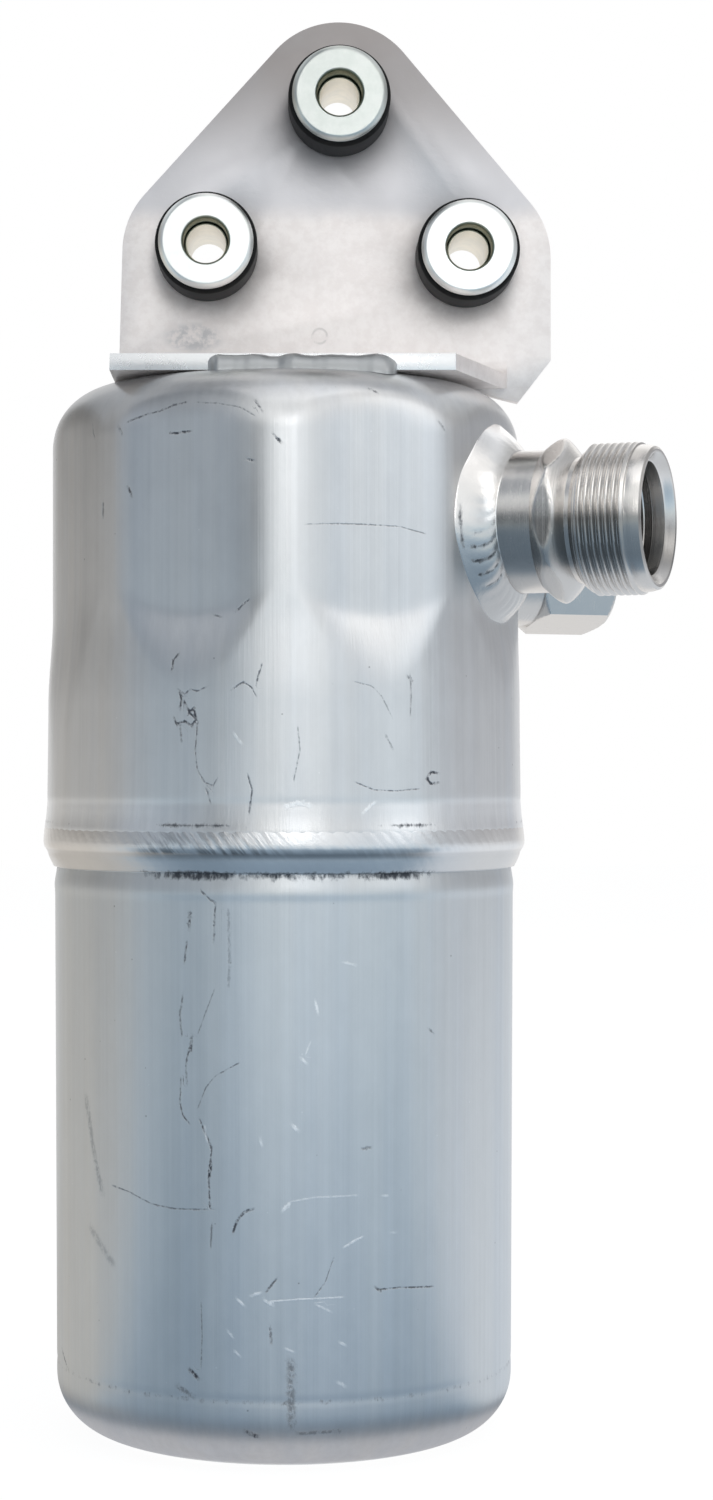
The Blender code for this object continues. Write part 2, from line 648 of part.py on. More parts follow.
def mounting_bracket():
    """One sheet bent up from its foot, with three holes for the rubber bushings."""
    left_side = BUSHINGS["left"][0] - LOBE_RADIUS
    right_side = BUSHINGS["right"][0] + LOBE_RADIUS
    above = BUSHINGS["top"][1] + LOBE_RADIUS + CUT_MARGIN
    bend_centre = (BEND_CENTRE_Y, BEND_CENTRE_Z)
    bend_outside_radius = BEND_INSIDE_RADIUS + SHEET_THICKNESS
    side = [
        (FOOT_FRONT_Y, FOOT_BOTTOM),
        *arc(bend_centre, bend_outside_radius, -90, 0),
        (PLATE_REAR_Y, above),
        (PLATE_FRONT_Y, above),
        *arc(bend_centre, BEND_INSIDE_RADIUS, 0, -90),
        (FOOT_FRONT_Y, FOOT_TOP),
    ]
    bracket = sheet(
        "mounting_bracket", side, left_side - CUT_MARGIN, right_side + CUT_MARGIN, ALONG_X,
        None, PARTS)
    corner_left = FOOT_CUT_RIGHT_X - PLATE_CORNER_REACH
    corner_foot = FOOT_BOTTOM - PLATE_CORNER_BELOW_FOOT
    corner = sheet(
        "bracket_corner",
        [
            (corner_left, FOOT_BOTTOM),
            (right_side - PLATE_CORNER_CHAMFER, corner_foot),
            (right_side + CUT_MARGIN, corner_foot - CUT_MARGIN),
            (right_side + CUT_MARGIN, BEND_CENTRE_Z + CUT_MARGIN),
            (corner_left, BEND_CENTRE_Z + CUT_MARGIN),
        ],
        -PLATE_REAR_Y, -PLATE_FRONT_Y, FACING_FRONT)
    combine(bracket, corner, "UNION")
    blank = sheet(
        "bracket_blank", bushing_outline(), -PLATE_REAR_Y - CUT_MARGIN, -FOOT_FRONT_Y + CUT_MARGIN,
        FACING_FRONT)
    combine(bracket, blank, "INTERSECT")
    corner_cut = sheet(
        "bracket_corner_cut",
        [
            (FOOT_RIGHT_X, FOOT_FRONT_Y),
            (FOOT_RIGHT_X, FOOT_FRONT_Y - CUT_MARGIN),
            (right_side + 2 * CUT_MARGIN, FOOT_FRONT_Y - CUT_MARGIN),
            (right_side + 2 * CUT_MARGIN, PLATE_FRONT_Y),
            (FOOT_CUT_RIGHT_X, PLATE_FRONT_Y),
        ],
        FOOT_BOTTOM - CUT_MARGIN, BEND_CENTRE_Z + CUT_MARGIN)
    combine(bracket, corner_cut, "DIFFERENCE")
    hole_radius = GROMMET_GROOVE_DIAMETER / 2 + SEAT_GAP
    for side_name, (x, z) in BUSHINGS.items():
        hole = rod(f"bracket_hole_{side_name}", hole_radius, -PLATE_REAR_Y - CUT_MARGIN,
                   -PLATE_FRONT_Y + CUT_MARGIN, BUSHING_STEPS, bushing_axes[side_name])
        combine(bracket, hole, "DIFFERENCE")
    return finish(bracket, DRAWN_ALUMINIUM)


def bracket_weld_front():
    """The fillet bead along the foot's front edge."""
    edge_y = FOOT_FRONT_Y - SEAT_GAP
    root = CAN_HEIGHT + SEAT_GAP
    profile = [(edge_y, root)]
    for index in range(ARC_STEPS + 1):
        angle = math.radians(90) * index / ARC_STEPS
        profile.append((
            edge_y - FRONT_BEAD_WIDTH * math.sin(angle),
            root + FRONT_BEAD_HEIGHT * math.cos(angle)))
    bead = sheet(
        "bracket_weld_front", profile, FRONT_BEAD_LEFT_X, FRONT_BEAD_RIGHT_X, ALONG_X, None, PARTS)
    return finish(bead, WELD_ALUMINIUM)


def bracket_weld_rear():
    """The fillet bead in the notch under the bracket's bend."""
    root = CAN_HEIGHT + SEAT_GAP
    bend_radius = BEND_INSIDE_RADIUS + SHEET_THICKNESS + SEAT_GAP
    lowest = math.asin((BEND_CENTRE_Z - root) / bend_radius)
    notch = arc((BEND_CENTRE_Y, BEND_CENTRE_Z), bend_radius,
                math.degrees(REAR_BEAD_TOP_ANGLE), -math.degrees(lowest))
    toe = (PLATE_REAR_Y + REAR_BEAD_WIDTH, root)
    crown = (PLATE_REAR_Y + REAR_BEAD_WIDTH * REAR_BEAD_CROWN_OUT,
             root + REAR_BEAD_WIDTH * REAR_BEAD_CROWN_UP)
    bead = sheet(
        "bracket_weld_rear", [*notch, toe, crown], REAR_BEAD_LEFT_X, REAR_BEAD_RIGHT_X,
        ALONG_X, None, PARTS)
    return finish(bead, WELD_ALUMINIUM)


# Bushings

def grommet(name, parent):
    """A rubber bush with a groove that grips the plate's hole."""
    radius = GROMMET_DIAMETER / 2
    groove = GROMMET_GROOVE_DIAMETER / 2
    bore = FRONT_SLEEVE_BORE / 2 + FRONT_SLEEVE_WALL + SEAT_GAP
    profile = [
        (bore, GROMMET_FRONT),
        (radius - GROMMET_EDGE, GROMMET_FRONT),
        (radius, GROMMET_FRONT - GROMMET_EDGE),
        (radius, -PLATE_FRONT_Y + SEAT_GAP),
        (groove, -PLATE_FRONT_Y + SEAT_GAP),
        (groove, -PLATE_REAR_Y - SEAT_GAP),
        (radius, -PLATE_REAR_Y - SEAT_GAP),
        (radius, GROMMET_REAR + GROMMET_EDGE),
        (radius - GROMMET_EDGE, GROMMET_REAR),
        (bore, GROMMET_REAR),
    ]
    return finish(turned(name, profile, BUSHING_STEPS, parent, PARTS), BLACK_RUBBER)


def front_sleeve(name, parent):
    """A flanged steel sleeve pushed in from the front."""
    flange = FLANGE_DIAMETER / 2
    bore = FRONT_SLEEVE_BORE / 2
    outer = bore + FRONT_SLEEVE_WALL
    under_flange = BUSHING_FRONT_FACE - FLANGE_THICKNESS
    profile = [
        (bore, BUSHING_FRONT_FACE),
        (flange - FLANGE_EDGE, BUSHING_FRONT_FACE),
        (flange, BUSHING_FRONT_FACE - FLANGE_EDGE),
        (flange, under_flange),
        (outer, under_flange),
        (outer, BUSHING_FRONT_FACE - FRONT_SLEEVE_LENGTH),
        (bore, BUSHING_FRONT_FACE - FRONT_SLEEVE_LENGTH),
    ]
    return finish(turned(name, profile, BUSHING_STEPS, parent, PARTS), ZINC_STEEL)


def rear_sleeve(name, parent):
    """A flanged steel sleeve from behind that slides inside the front one."""
    flange = FLANGE_DIAMETER / 2
    outer = FRONT_SLEEVE_BORE / 2 - SEAT_GAP
    bore = REAR_SLEEVE_BORE / 2
    near_end = BUSHING_FRONT_FACE - REAR_SLEEVE_RECESS
    profile = [
        (outer, near_end),
        (outer, BUSHING_REAR_FACE + FLANGE_THICKNESS),
        (flange, BUSHING_REAR_FACE + FLANGE_THICKNESS),
        (flange, BUSHING_REAR_FACE + FLANGE_EDGE),
        (flange - FLANGE_EDGE, BUSHING_REAR_FACE),
        (bore, BUSHING_REAR_FACE),
        (bore, near_end),
    ]
    return finish(turned(name, profile, BUSHING_STEPS, parent, PARTS), ZINC_STEEL)


# Inside the can

def tube_path(start_extra=0.0, end_extra=0.0):
    """The suction tube's centreline in the outlet's plane, from the outlet to its open end."""
    outward = Vector((math.sin(OUTLET_AZIMUTH), -math.cos(OUTLET_AZIMUTH), 0))
    leg = TUBE_LEG_RADIUS
    bend = TUBE_OUTLET_BEND_RADIUS
    route = [(OUTLET_SOCKET_END - SEAT_GAP + start_extra, OUTLET_HEIGHT)]
    route += arc((leg + bend, OUTLET_HEIGHT - bend), bend, 90, 180)
    route += arc((0, TUBE_UBEND_HEIGHT), leg, 0, -180, 2 * ARC_STEPS)
    route += [(-leg, TUBE_MOUTH_HEIGHT + end_extra)]
    return [outward * along + Vector((0, 0, height)) for along, height in route]


def suction_tube():
    """The bent tube that draws vapour from the top of the can, with its oil hole."""
    tube = pipe("suction_tube", tube_path(), TUBE_RADIUS, None, PARTS)
    hollow = pipe("suction_tube_hollow", tube_path(CUT_MARGIN, CUT_MARGIN), TUBE_RADIUS - TUBE_WALL)
    combine(tube, hollow, "DIFFERENCE")
    drill = rod("oil_hole_drill", OIL_HOLE_DIAMETER / 2, TUBE_LOW_POINT - CUT_MARGIN,
                TUBE_LOW_POINT + TUBE_RADIUS, BUSHING_STEPS // 2)
    combine(tube, drill, "DIFFERENCE")
    return finish(tube, MACHINED_ALUMINIUM)


def deflector(mouth_axis):
    """A shallow inverted cup that keeps liquid out of the tube's open end."""
    radius = DEFLECTOR_DIAMETER / 2
    under = DEFLECTOR_TOP - DEFLECTOR_WALL
    cup_profile = [
        (0, DEFLECTOR_TOP),
        (radius - DEFLECTOR_WALL, DEFLECTOR_TOP),
        (radius, under),
        (radius, DEFLECTOR_TOP - DEFLECTOR_SKIRT),
        (radius - DEFLECTOR_WALL, DEFLECTOR_TOP - DEFLECTOR_SKIRT),
        (radius - DEFLECTOR_WALL, under),
        (0, under),
    ]
    cup = turned("deflector", cup_profile, PORT_STEPS, None, PARTS)
    inner = TUBE_RADIUS + SEAT_GAP
    outer = inner + DEFLECTOR_WALL
    socket_foot = TUBE_MOUTH_HEIGHT - DEFLECTOR_SOCKET_LENGTH
    ring_profile = [
        (outer, TUBE_MOUTH_HEIGHT),
        (outer, socket_foot),
        (inner, socket_foot),
        (inner, TUBE_MOUTH_HEIGHT),
    ]
    combine(cup, turned("deflector_socket", ring_profile, PORT_STEPS, mouth_axis), "UNION")
    for number in range(DEFLECTOR_RIB_COUNT):
        rib_axis = axis(f"deflector_rib_axis_{number}", mouth_axis.matrix_world @ Matrix.Rotation(
            math.tau * number / DEFLECTOR_RIB_COUNT, 4, "Z"))
        low = (inner + DEFLECTOR_WALL / 4, -DEFLECTOR_RIB_THICKNESS / 2, socket_foot + DEFLECTOR_WALL)
        high = (outer + DEFLECTOR_WALL, DEFLECTOR_RIB_THICKNESS / 2, under + DEFLECTOR_WALL / 2)
        combine(cup, block(f"deflector_rib_{number}", low, high, rib_axis), "UNION")
    return finish(cup, WHITE_NYLON)


def oil_filter_cage():
    """A nylon cup clipped under the tube's lowest bend, with windows for the screen."""
    radius = FILTER_DIAMETER / 2
    inner = radius - FILTER_WALL
    ceiling = TUBE_LOW_POINT + TUBE_RADIUS
    floor = FILTER_FLOOR + FILTER_WALL
    profile = [(0, ceiling), (radius, ceiling), (radius, FILTER_FLOOR), (0, FILTER_FLOOR)]
    cage = turned("oil_filter_cage", profile, PORT_STEPS, None, PARTS)
    well = rod("filter_well", inner, floor, ceiling + CUT_MARGIN, PORT_STEPS)
    combine(cage, well, "DIFFERENCE")
    combine(cage, pipe("filter_saddle", tube_path(), TUBE_RADIUS + SEAT_GAP), "DIFFERENCE")
    for number in range(FILTER_WINDOW_COUNT):
        azimuth = OUTLET_AZIMUTH + math.tau * (number + 0.5) / FILTER_WINDOW_COUNT
        turn = axis(f"filter_window_axis_{number}", Matrix.Rotation(azimuth, 4, "Z"))
        low = (-FILTER_WINDOW_WIDTH / 2, inner - CUT_MARGIN, floor)
        high = (FILTER_WINDOW_WIDTH / 2, radius + CUT_MARGIN, floor + FILTER_WINDOW_HEIGHT)
        combine(cage, block(f"filter_window_{number}", low, high, turn), "DIFFERENCE")
    return finish(cage, WHITE_NYLON)


def oil_filter_screen():
    """The fine sleeve that stands inside the cage."""
    outer = FILTER_DIAMETER / 2 - FILTER_WALL - SEAT_GAP
    inner = outer - SCREEN_THICKNESS
    top = TUBE_LOW_POINT - SEAT_GAP
    foot = FILTER_FLOOR + FILTER_WALL + SEAT_GAP
    profile = [(outer, top), (outer, foot), (inner, foot), (inner, top)]
    screen = turned("oil_filter_screen", profile, BUSHING_STEPS, None, PARTS)
    return finish(screen, FILTER_MESH)


def desiccant_bag(name, side, parent):
    """A felt bag of drying beads that lies against the tube's two legs."""
    near = TUBE_RADIUS + SEAT_GAP
    far = near + BAG_THICKNESS
    low_y, high_y = sorted((side * near, side * far))
    bag = block(
        name, (-BAG_WIDTH / 2, low_y, BAG_BASE_HEIGHT),
        (BAG_WIDTH / 2, high_y, BAG_BASE_HEIGHT + BAG_LENGTH), parent, PARTS)
    bevel = bag.modifiers.new("soft_edges", "BEVEL")
    bevel.width = BAG_ROUNDING
    bevel.segments = 4
    bevel.limit_method = "NONE"
    return finish(bag, BAG_FELT)


def rounded_outline(half_x, half_y, corner):
    """A rectangle with round corners."""
    points = []
    for centre_x, centre_y, start in ((1, 1, 0), (-1, 1, 90), (-1, -1, 180), (1, -1, 270)):
        centre = (centre_x * (half_x - corner), centre_y * (half_y - corner))
        points += arc(centre, corner, start, start + 90)
    return points


def bag_strap(name, low, parent):
    """A flat band round both bags and the tube."""
    half_x = BAG_WIDTH / 2 + SEAT_GAP
    half_y = TUBE_RADIUS + BAG_THICKNESS + 2 * SEAT_GAP
    corner = BAG_ROUNDING
    outer = rounded_outline(
        half_x + STRAP_THICKNESS, half_y + STRAP_THICKNESS, corner + STRAP_THICKNESS)
    inner = rounded_outline(half_x, half_y, corner)
    strap = sheet(name, outer, low, low + STRAP_WIDTH, Matrix(), parent, PARTS)
    hole = sheet(
        f"{name}_hole", inner, low - CUT_MARGIN, low + STRAP_WIDTH + CUT_MARGIN, Matrix(), parent)
    return finish(combine(strap, hole, "DIFFERENCE"), WHITE_NYLON)


# Assembly
outlet_axis = port_axis("outlet_axis", OUTLET_AZIMUTH, OUTLET_HEIGHT)
inlet_axis = port_axis("inlet_axis", INLET_AZIMUTH, INLET_HEIGHT)
bushing_axes = {}
for side_name, (x, z) in BUSHINGS.items():
    facing = Matrix.Translation((x, 0, z)) @ Matrix.Rotation(math.radians(90), 4, "X")
    bushing_axes[side_name] = axis(f"bushing_axis_{side_name}", facing)
tube_plane = axis("tube_plane", Matrix.Rotation(OUTLET_AZIMUTH - math.radians(90), 4, "Z"))
mouth_direction = Vector((-math.sin(OUTLET_AZIMUTH), math.cos(OUTLET_AZIMUTH), 0))
tube_mouth_axis = axis("tube_mouth_axis", Matrix.Translation(mouth_direction * TUBE_LEG_RADIUS))
bpy.context.view_layer.update()

lower_shell()
upper_shell({"outlet": outlet_axis, "inlet": inlet_axis})
girth_weld()
seat_skin = can_form("seat_skin", -SEAT_GAP, UPPER_RIM_HEIGHT)
outlet_fitting(outlet_axis, seat_skin)
inlet_fitting(inlet_axis, seat_skin)
port_weld("outlet_weld", OUTLET_NECK_DIAMETER, OUTLET_WELD_SPREAD, OUTLET_WELD_HEIGHT,
          outlet_axis, seat_skin)
port_weld("inlet_weld", INLET_NECK_DIAMETER, INLET_WELD_SPREAD, INLET_WELD_HEIGHT,
          inlet_axis, seat_skin)
mounting_bracket()
bracket_weld_front()
bracket_weld_rear()
for side_name, bushing_axis in bushing_axes.items():
    grommet(f"grommet_{side_name}", bushing_axis)
    front_sleeve(f"front_sleeve_{side_name}", bushing_axis)
    rear_sleeve(f"rear_sleeve_{side_name}", bushing_axis)
suction_tube()
deflector(tube_mouth_axis)
oil_filter_cage()
oil_filter_screen()
desiccant_bag("desiccant_bag_front", -1, tube_plane)
desiccant_bag("desiccant_bag_rear", 1, tube_plane)
bag_strap("bag_strap_lower", BAG_BASE_HEIGHT + STRAP_INSET, tube_plane)
bag_strap("bag_strap_upper", BAG_BASE_HEIGHT + BAG_LENGTH - STRAP_INSET - STRAP_WIDTH, tube_plane)
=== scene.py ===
import math

import bmesh
import bpy
import numpy as np
from mathutils import Matrix, Vector


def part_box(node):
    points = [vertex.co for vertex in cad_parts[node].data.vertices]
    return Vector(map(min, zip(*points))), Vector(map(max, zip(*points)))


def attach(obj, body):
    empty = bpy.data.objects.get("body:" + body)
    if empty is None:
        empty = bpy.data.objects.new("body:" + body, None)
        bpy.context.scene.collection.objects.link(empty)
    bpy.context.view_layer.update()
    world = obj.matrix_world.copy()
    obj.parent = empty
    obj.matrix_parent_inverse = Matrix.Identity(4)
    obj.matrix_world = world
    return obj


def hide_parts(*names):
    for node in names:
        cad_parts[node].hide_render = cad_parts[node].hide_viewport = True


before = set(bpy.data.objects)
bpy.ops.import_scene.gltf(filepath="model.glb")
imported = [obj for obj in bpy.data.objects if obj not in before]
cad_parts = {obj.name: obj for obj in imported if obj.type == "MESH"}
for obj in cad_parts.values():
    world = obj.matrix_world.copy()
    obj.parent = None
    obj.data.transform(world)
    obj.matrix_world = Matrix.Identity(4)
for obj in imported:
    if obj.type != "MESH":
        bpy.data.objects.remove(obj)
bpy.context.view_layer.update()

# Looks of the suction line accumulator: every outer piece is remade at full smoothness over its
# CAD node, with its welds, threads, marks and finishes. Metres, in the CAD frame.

# Where the photograph was taken from, in metres, and its picture in pixels
CAMERA_DISTANCE = 0.550
CAMERA_HEIGHT = 0.126
FOCAL_PIXELS = 2882.0
AXIS_PIXEL = (284.0, 762.0)
PHOTO_WIDTH = 713
PHOTO_HEIGHT = 1500
SENSOR_WIDTH = 36.0

# Sizes read from the frame
BODY_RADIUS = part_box("upper_shell")[1].y
CAN_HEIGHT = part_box("upper_shell")[1].z
UPPER_RIM_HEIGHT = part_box("upper_shell")[0].z
LOWER_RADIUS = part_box("lower_shell")[1].x
GIRTH_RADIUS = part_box("girth_weld")[1].x
GIRTH_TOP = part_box("girth_weld")[1].z - 0.0007
GIRTH_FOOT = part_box("girth_weld")[0].z
SPIGOT_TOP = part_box("lower_shell")[1].z

# Sizes repeated from the construction
WALL = 0.0020
SHOULDER_RADIUS = 0.0115
BASE_CORNER_RADIUS = 0.0110
LOWER_TAPER = 0.0004
SPIGOT_RADIUS = BODY_RADIUS - WALL - 0.0003
FLAT_COUNT = 8
FLAT_PITCH = math.tau / FLAT_COUNT
FLAT_PLANE = BODY_RADIUS - 0.0020
FLAT_HALF_WIDTH = 0.0146
FLAT_FOOT_HEIGHT = 0.1517
FLAT_FOOT_ARCH = 0.0042
FLAT_RUNOUT_SLOPE = 0.27
OUTLET_AZIMUTH = 1.5 * FLAT_PITCH
OUTLET_HEIGHT = 0.1702
INLET_AZIMUTH = 2.5 * FLAT_PITCH
INLET_HEIGHT = 0.1625
OUTLET_NECK = 0.0131
OUTLET_BEAD_SPREAD = 0.0051
OUTLET_BEAD_PITCH = 0.0026
SHEET = 0.0030
FOOT_BOTTOM = CAN_HEIGHT + 0.0003
PLATE_FRONT_Y = -0.0010


# Forms

def smooth_min(a, b, softness):
    """The smaller of two, rounded where they meet."""
    share = np.clip(0.5 + 0.5 * (b - a) / softness, 0, 1)
    return b * (1 - share) + a * share - softness * share * (1 - share)


def smooth_step(value, low, high):
    share = np.clip((value - low) / (high - low), 0, 1)
    return share * share * (3 - 2 * share)


def bell(value, centre, width):
    return np.exp(-((value - centre) / width) ** 2)


def span(value, low, high, soft):
    """1 from low to high, with soft ends."""
    rising = smooth_step(value, low - soft, low + soft)
    return rising * (1 - smooth_step(value, high - soft, high + soft))


def ripple_noise(*terms):
    """A smooth repeatable wobble from a few sines, between about -1 and 1."""
    total = 0
    for index, term in enumerate(terms):
        total = total + np.sin(term + 1.7 * index) * np.cos(0.61 * term + 0.9 * index)
    return total / len(terms)


def make_mesh(name, points, faces):
    mesh = bpy.data.meshes.new(name)
    mesh.from_pydata([tuple(point) for point in points], [], faces)
    mesh.validate()
    form = bmesh.new()
    form.from_mesh(mesh)
    bmesh.ops.remove_doubles(form, verts=form.verts, dist=1e-7)
    bmesh.ops.recalc_face_normals(form, faces=form.faces)
    form.to_mesh(mesh)
    form.free()
    piece = bpy.data.objects.new(name, mesh)
    bpy.context.scene.collection.objects.link(piece)
    return piece


def skin(name, rings, closed=False):
    """A closed surface through rings of points: each ring goes round, and the first and last
    ring are capped, or joined to each other when closed."""
    rings = np.asarray(rings)
    rows, columns = rings.shape[:2]
    points = rings.reshape(-1, 3)
    faces = []
    for row in range(rows if closed else rows - 1):
        upper = row * columns
        lower = ((row + 1) % rows) * columns
        for column in range(columns):
            beside = (column + 1) % columns
            faces.append((upper + column, upper + beside, lower + beside, lower + column))
    if not closed:
        faces.append(tuple(range(columns)))
        faces.append(tuple(range((rows - 1) * columns, rows * columns)))
    return make_mesh(name, points, faces)


def arc(centre, radius, start, end, steps):
    """Points from one angle to another, in degrees."""
    angles = np.radians(np.linspace(start, end, steps + 1))
    return [(centre[0] + radius * math.cos(a), centre[1] + radius * math.sin(a)) for a in angles]


def line(start, end, step):
    """Points from start to end, both included, about a step apart."""
    length = math.dist(start, end)
    count = max(1, round(length / step))
    return [tuple(np.array(start) + (np.array(end) - np.array(start)) * i / count)
            for i in range(count + 1)]


def turned(name, profile, columns, place=Matrix(), closed=True):
    """A turned piece: a profile of (radius, height) taken round its place's Z axis."""
    angles = np.linspace(0, math.tau, columns, endpoint=False)
    rings = [[(r * math.cos(a), r * math.sin(a), h) for a in angles] for r, h in profile]
    piece = skin(name, rings, closed)
    piece.data.transform(place)
    return piece


def smooth(piece, angle=32):
    piece.data.shade_smooth()
    piece.data.set_sharp_from_angle(angle=math.radians(angle))
    return piece


def apply_modifiers(piece):
    bpy.context.view_layer.update()
    depsgraph = bpy.context.evaluated_depsgraph_get()
    mesh = bpy.data.meshes.new_from_object(piece.evaluated_get(depsgraph))
    piece.modifiers.clear()
    piece.data = mesh
    return piece


def combine(piece, other, operation, solver="MANIFOLD"):
    """Cut, join or keep the overlap of a piece with another, which is used up."""
    change = piece.modifiers.new("change", "BOOLEAN")
    change.operation = operation
    change.solver = solver
    change.object = other
    apply_modifiers(piece)
    bpy.data.objects.remove(other, do_unlink=True)
    return piece


def prism(name, outline, low, high, place=Matrix()):
    """A flat outline made solid along its normal, from low to high."""
    count = len(outline)
    points = [(x, y, low) for x, y in outline] + [(x, y, high) for x, y in outline]
    faces = [tuple(range(count)), tuple(range(count, 2 * count))]
    faces += [(i, (i + 1) % count, count + (i + 1) % count, count + i) for i in range(count)]
    piece = make_mesh(name, points, faces)
    piece.data.transform(place)
    return piece


def soften_edges(piece, width, segments=2):
    bevel = piece.modifiers.new("edges", "BEVEL")
    bevel.width = width
    bevel.segments = segments
    bevel.limit_method = "ANGLE"
    bevel.angle_limit = math.radians(35)
    bevel.harden_normals = False
    return apply_modifiers(piece)


def port_place(azimuth, height):
    """The frame of a port: +Z out along its axis, +Y up."""
    outward = Vector((math.sin(azimuth), -math.cos(azimuth), 0))
    up = Vector((0, 0, 1))
    turn = Matrix((up.cross(outward), up, outward)).transposed().to_4x4()
    return Matrix.Translation((0, 0, height)) @ turn


OUTLET = port_place(OUTLET_AZIMUTH, OUTLET_HEIGHT)
INLET = port_place(INLET_AZIMUTH, INLET_HEIGHT)


# Shader writing

class Wire:
    """A shader socket or a number: arithmetic on it adds Math nodes."""

    def __init__(self, finish, socket):
        self.finish = finish
        self.socket = socket

    def _math(self, operation, *values):
        return self.finish.node("ShaderNodeMath", {"operation": operation}, list(values))

    def __add__(self, other):
        return self._math("ADD", self, other)

    __radd__ = __add__

    def __sub__(self, other):
        return self._math("SUBTRACT", self, other)

    def __rsub__(self, other):
        return self._math("SUBTRACT", other, self)

    def __mul__(self, other):
        return self._math("MULTIPLY", self, other)

    __rmul__ = __mul__

    def __pow__(self, other):
        return self._math("POWER", self, other)

    def size(self):
        return self._math("ABSOLUTE", self)

    def clamp(self):
        return self.finish.node(
            "ShaderNodeClamp", {}, {"Value": self, "Min": 0.0, "Max": 1.0})

    def step(self, low, high):
        """0 below low, 1 above high, smooth between."""
        return self.finish.node(
            "ShaderNodeMapRange", {"interpolation_type": "SMOOTHSTEP"},
            {"Value": self, "From Min": low, "From Max": high, "To Min": 0.0, "To Max": 1.0})


class Finish:
    """A material or world whose node tree is written with Wires."""

    def __init__(self, name, owner=None):
        self.owner = owner or bpy.data.materials.new(name)
        self.owner.use_nodes = True
        self.tree = self.owner.node_tree
        self.shader = self.tree.nodes.get("Principled BSDF")

    def node(self, kind, settings, values, output=0):
        """One node: its settings first, then the values or links of its sockets."""
        made = self.tree.nodes.new(kind)
        for key, value in settings.items():
            setattr(made, key, value)
        pairs = enumerate(values) if isinstance(values, list) else values.items()
        for key, value in pairs:
            socket = made.inputs[key]
            if isinstance(value, Wire):
                self.tree.links.new(value.socket, socket)
            elif value is not None:
                socket.default_value = value
        return Wire(self, made.outputs[output])

    def position(self):
        return self.node("ShaderNodeTexCoord", {}, {}, "Object")

    def parts(self, vector):
        made = self.tree.nodes.new("ShaderNodeSeparateXYZ")
        self.tree.links.new(vector.socket, made.inputs[0])
        return [Wire(self, socket) for socket in made.outputs]

    def scaled(self, vector, x, y, z):
        return self.node("ShaderNodeVectorMath", {"operation": "MULTIPLY"}, [vector, (x, y, z)])

    def noise(self, vector, scale=1.0, detail=2.0, rough=0.5):
        return self.node("ShaderNodeTexNoise", {}, {
            "Vector": vector, "Scale": scale, "Detail": detail, "Roughness": rough})

    def attribute(self, name):
        return self.node("ShaderNodeAttribute", {"attribute_name": name}, {}, "Fac")

    def mix(self, share, a, b, blend="MIX"):
        made = self.tree.nodes.new("ShaderNodeMix")
        made.data_type = "RGBA"
        made.blend_type = blend
        for index, value in ((0, share), (6, a), (7, b)):
            if isinstance(value, Wire):
                self.tree.links.new(value.socket, made.inputs[index])
            elif index == 0:
                made.inputs[index].default_value = value
            else:
                made.inputs[index].default_value = (*value, 1)
        return Wire(self, made.outputs[2])

    def set(self, **sockets):
        """Set the shader's own sockets, or link them."""
        for key, value in sockets.items():
            socket = self.shader.inputs[key.replace("_", " ").title()]
            if isinstance(value, Wire):
                self.tree.links.new(value.socket, socket)
            elif isinstance(value, tuple):
                socket.default_value = (*value, 1)
            else:
                socket.default_value = value

    def bump(self, height, distance, strength=1.0):
        normal = self.node("ShaderNodeBump", {}, {
            "Strength": strength, "Distance": distance, "Height": height})
        self.tree.links.new(normal.socket, self.shader.inputs["Normal"])


# Marks drawn on the can, as the photograph shows them. Each is a run of points in the
# photograph's own pixels, which on_can lays on the can's skin, after its width and strength.
MARK_HALF_WIDTH = 0.00044
MARK_REACH = 0.00090
MARK_END_FADE = 0.00022
MARK_SIDE_SCALE = 20.0

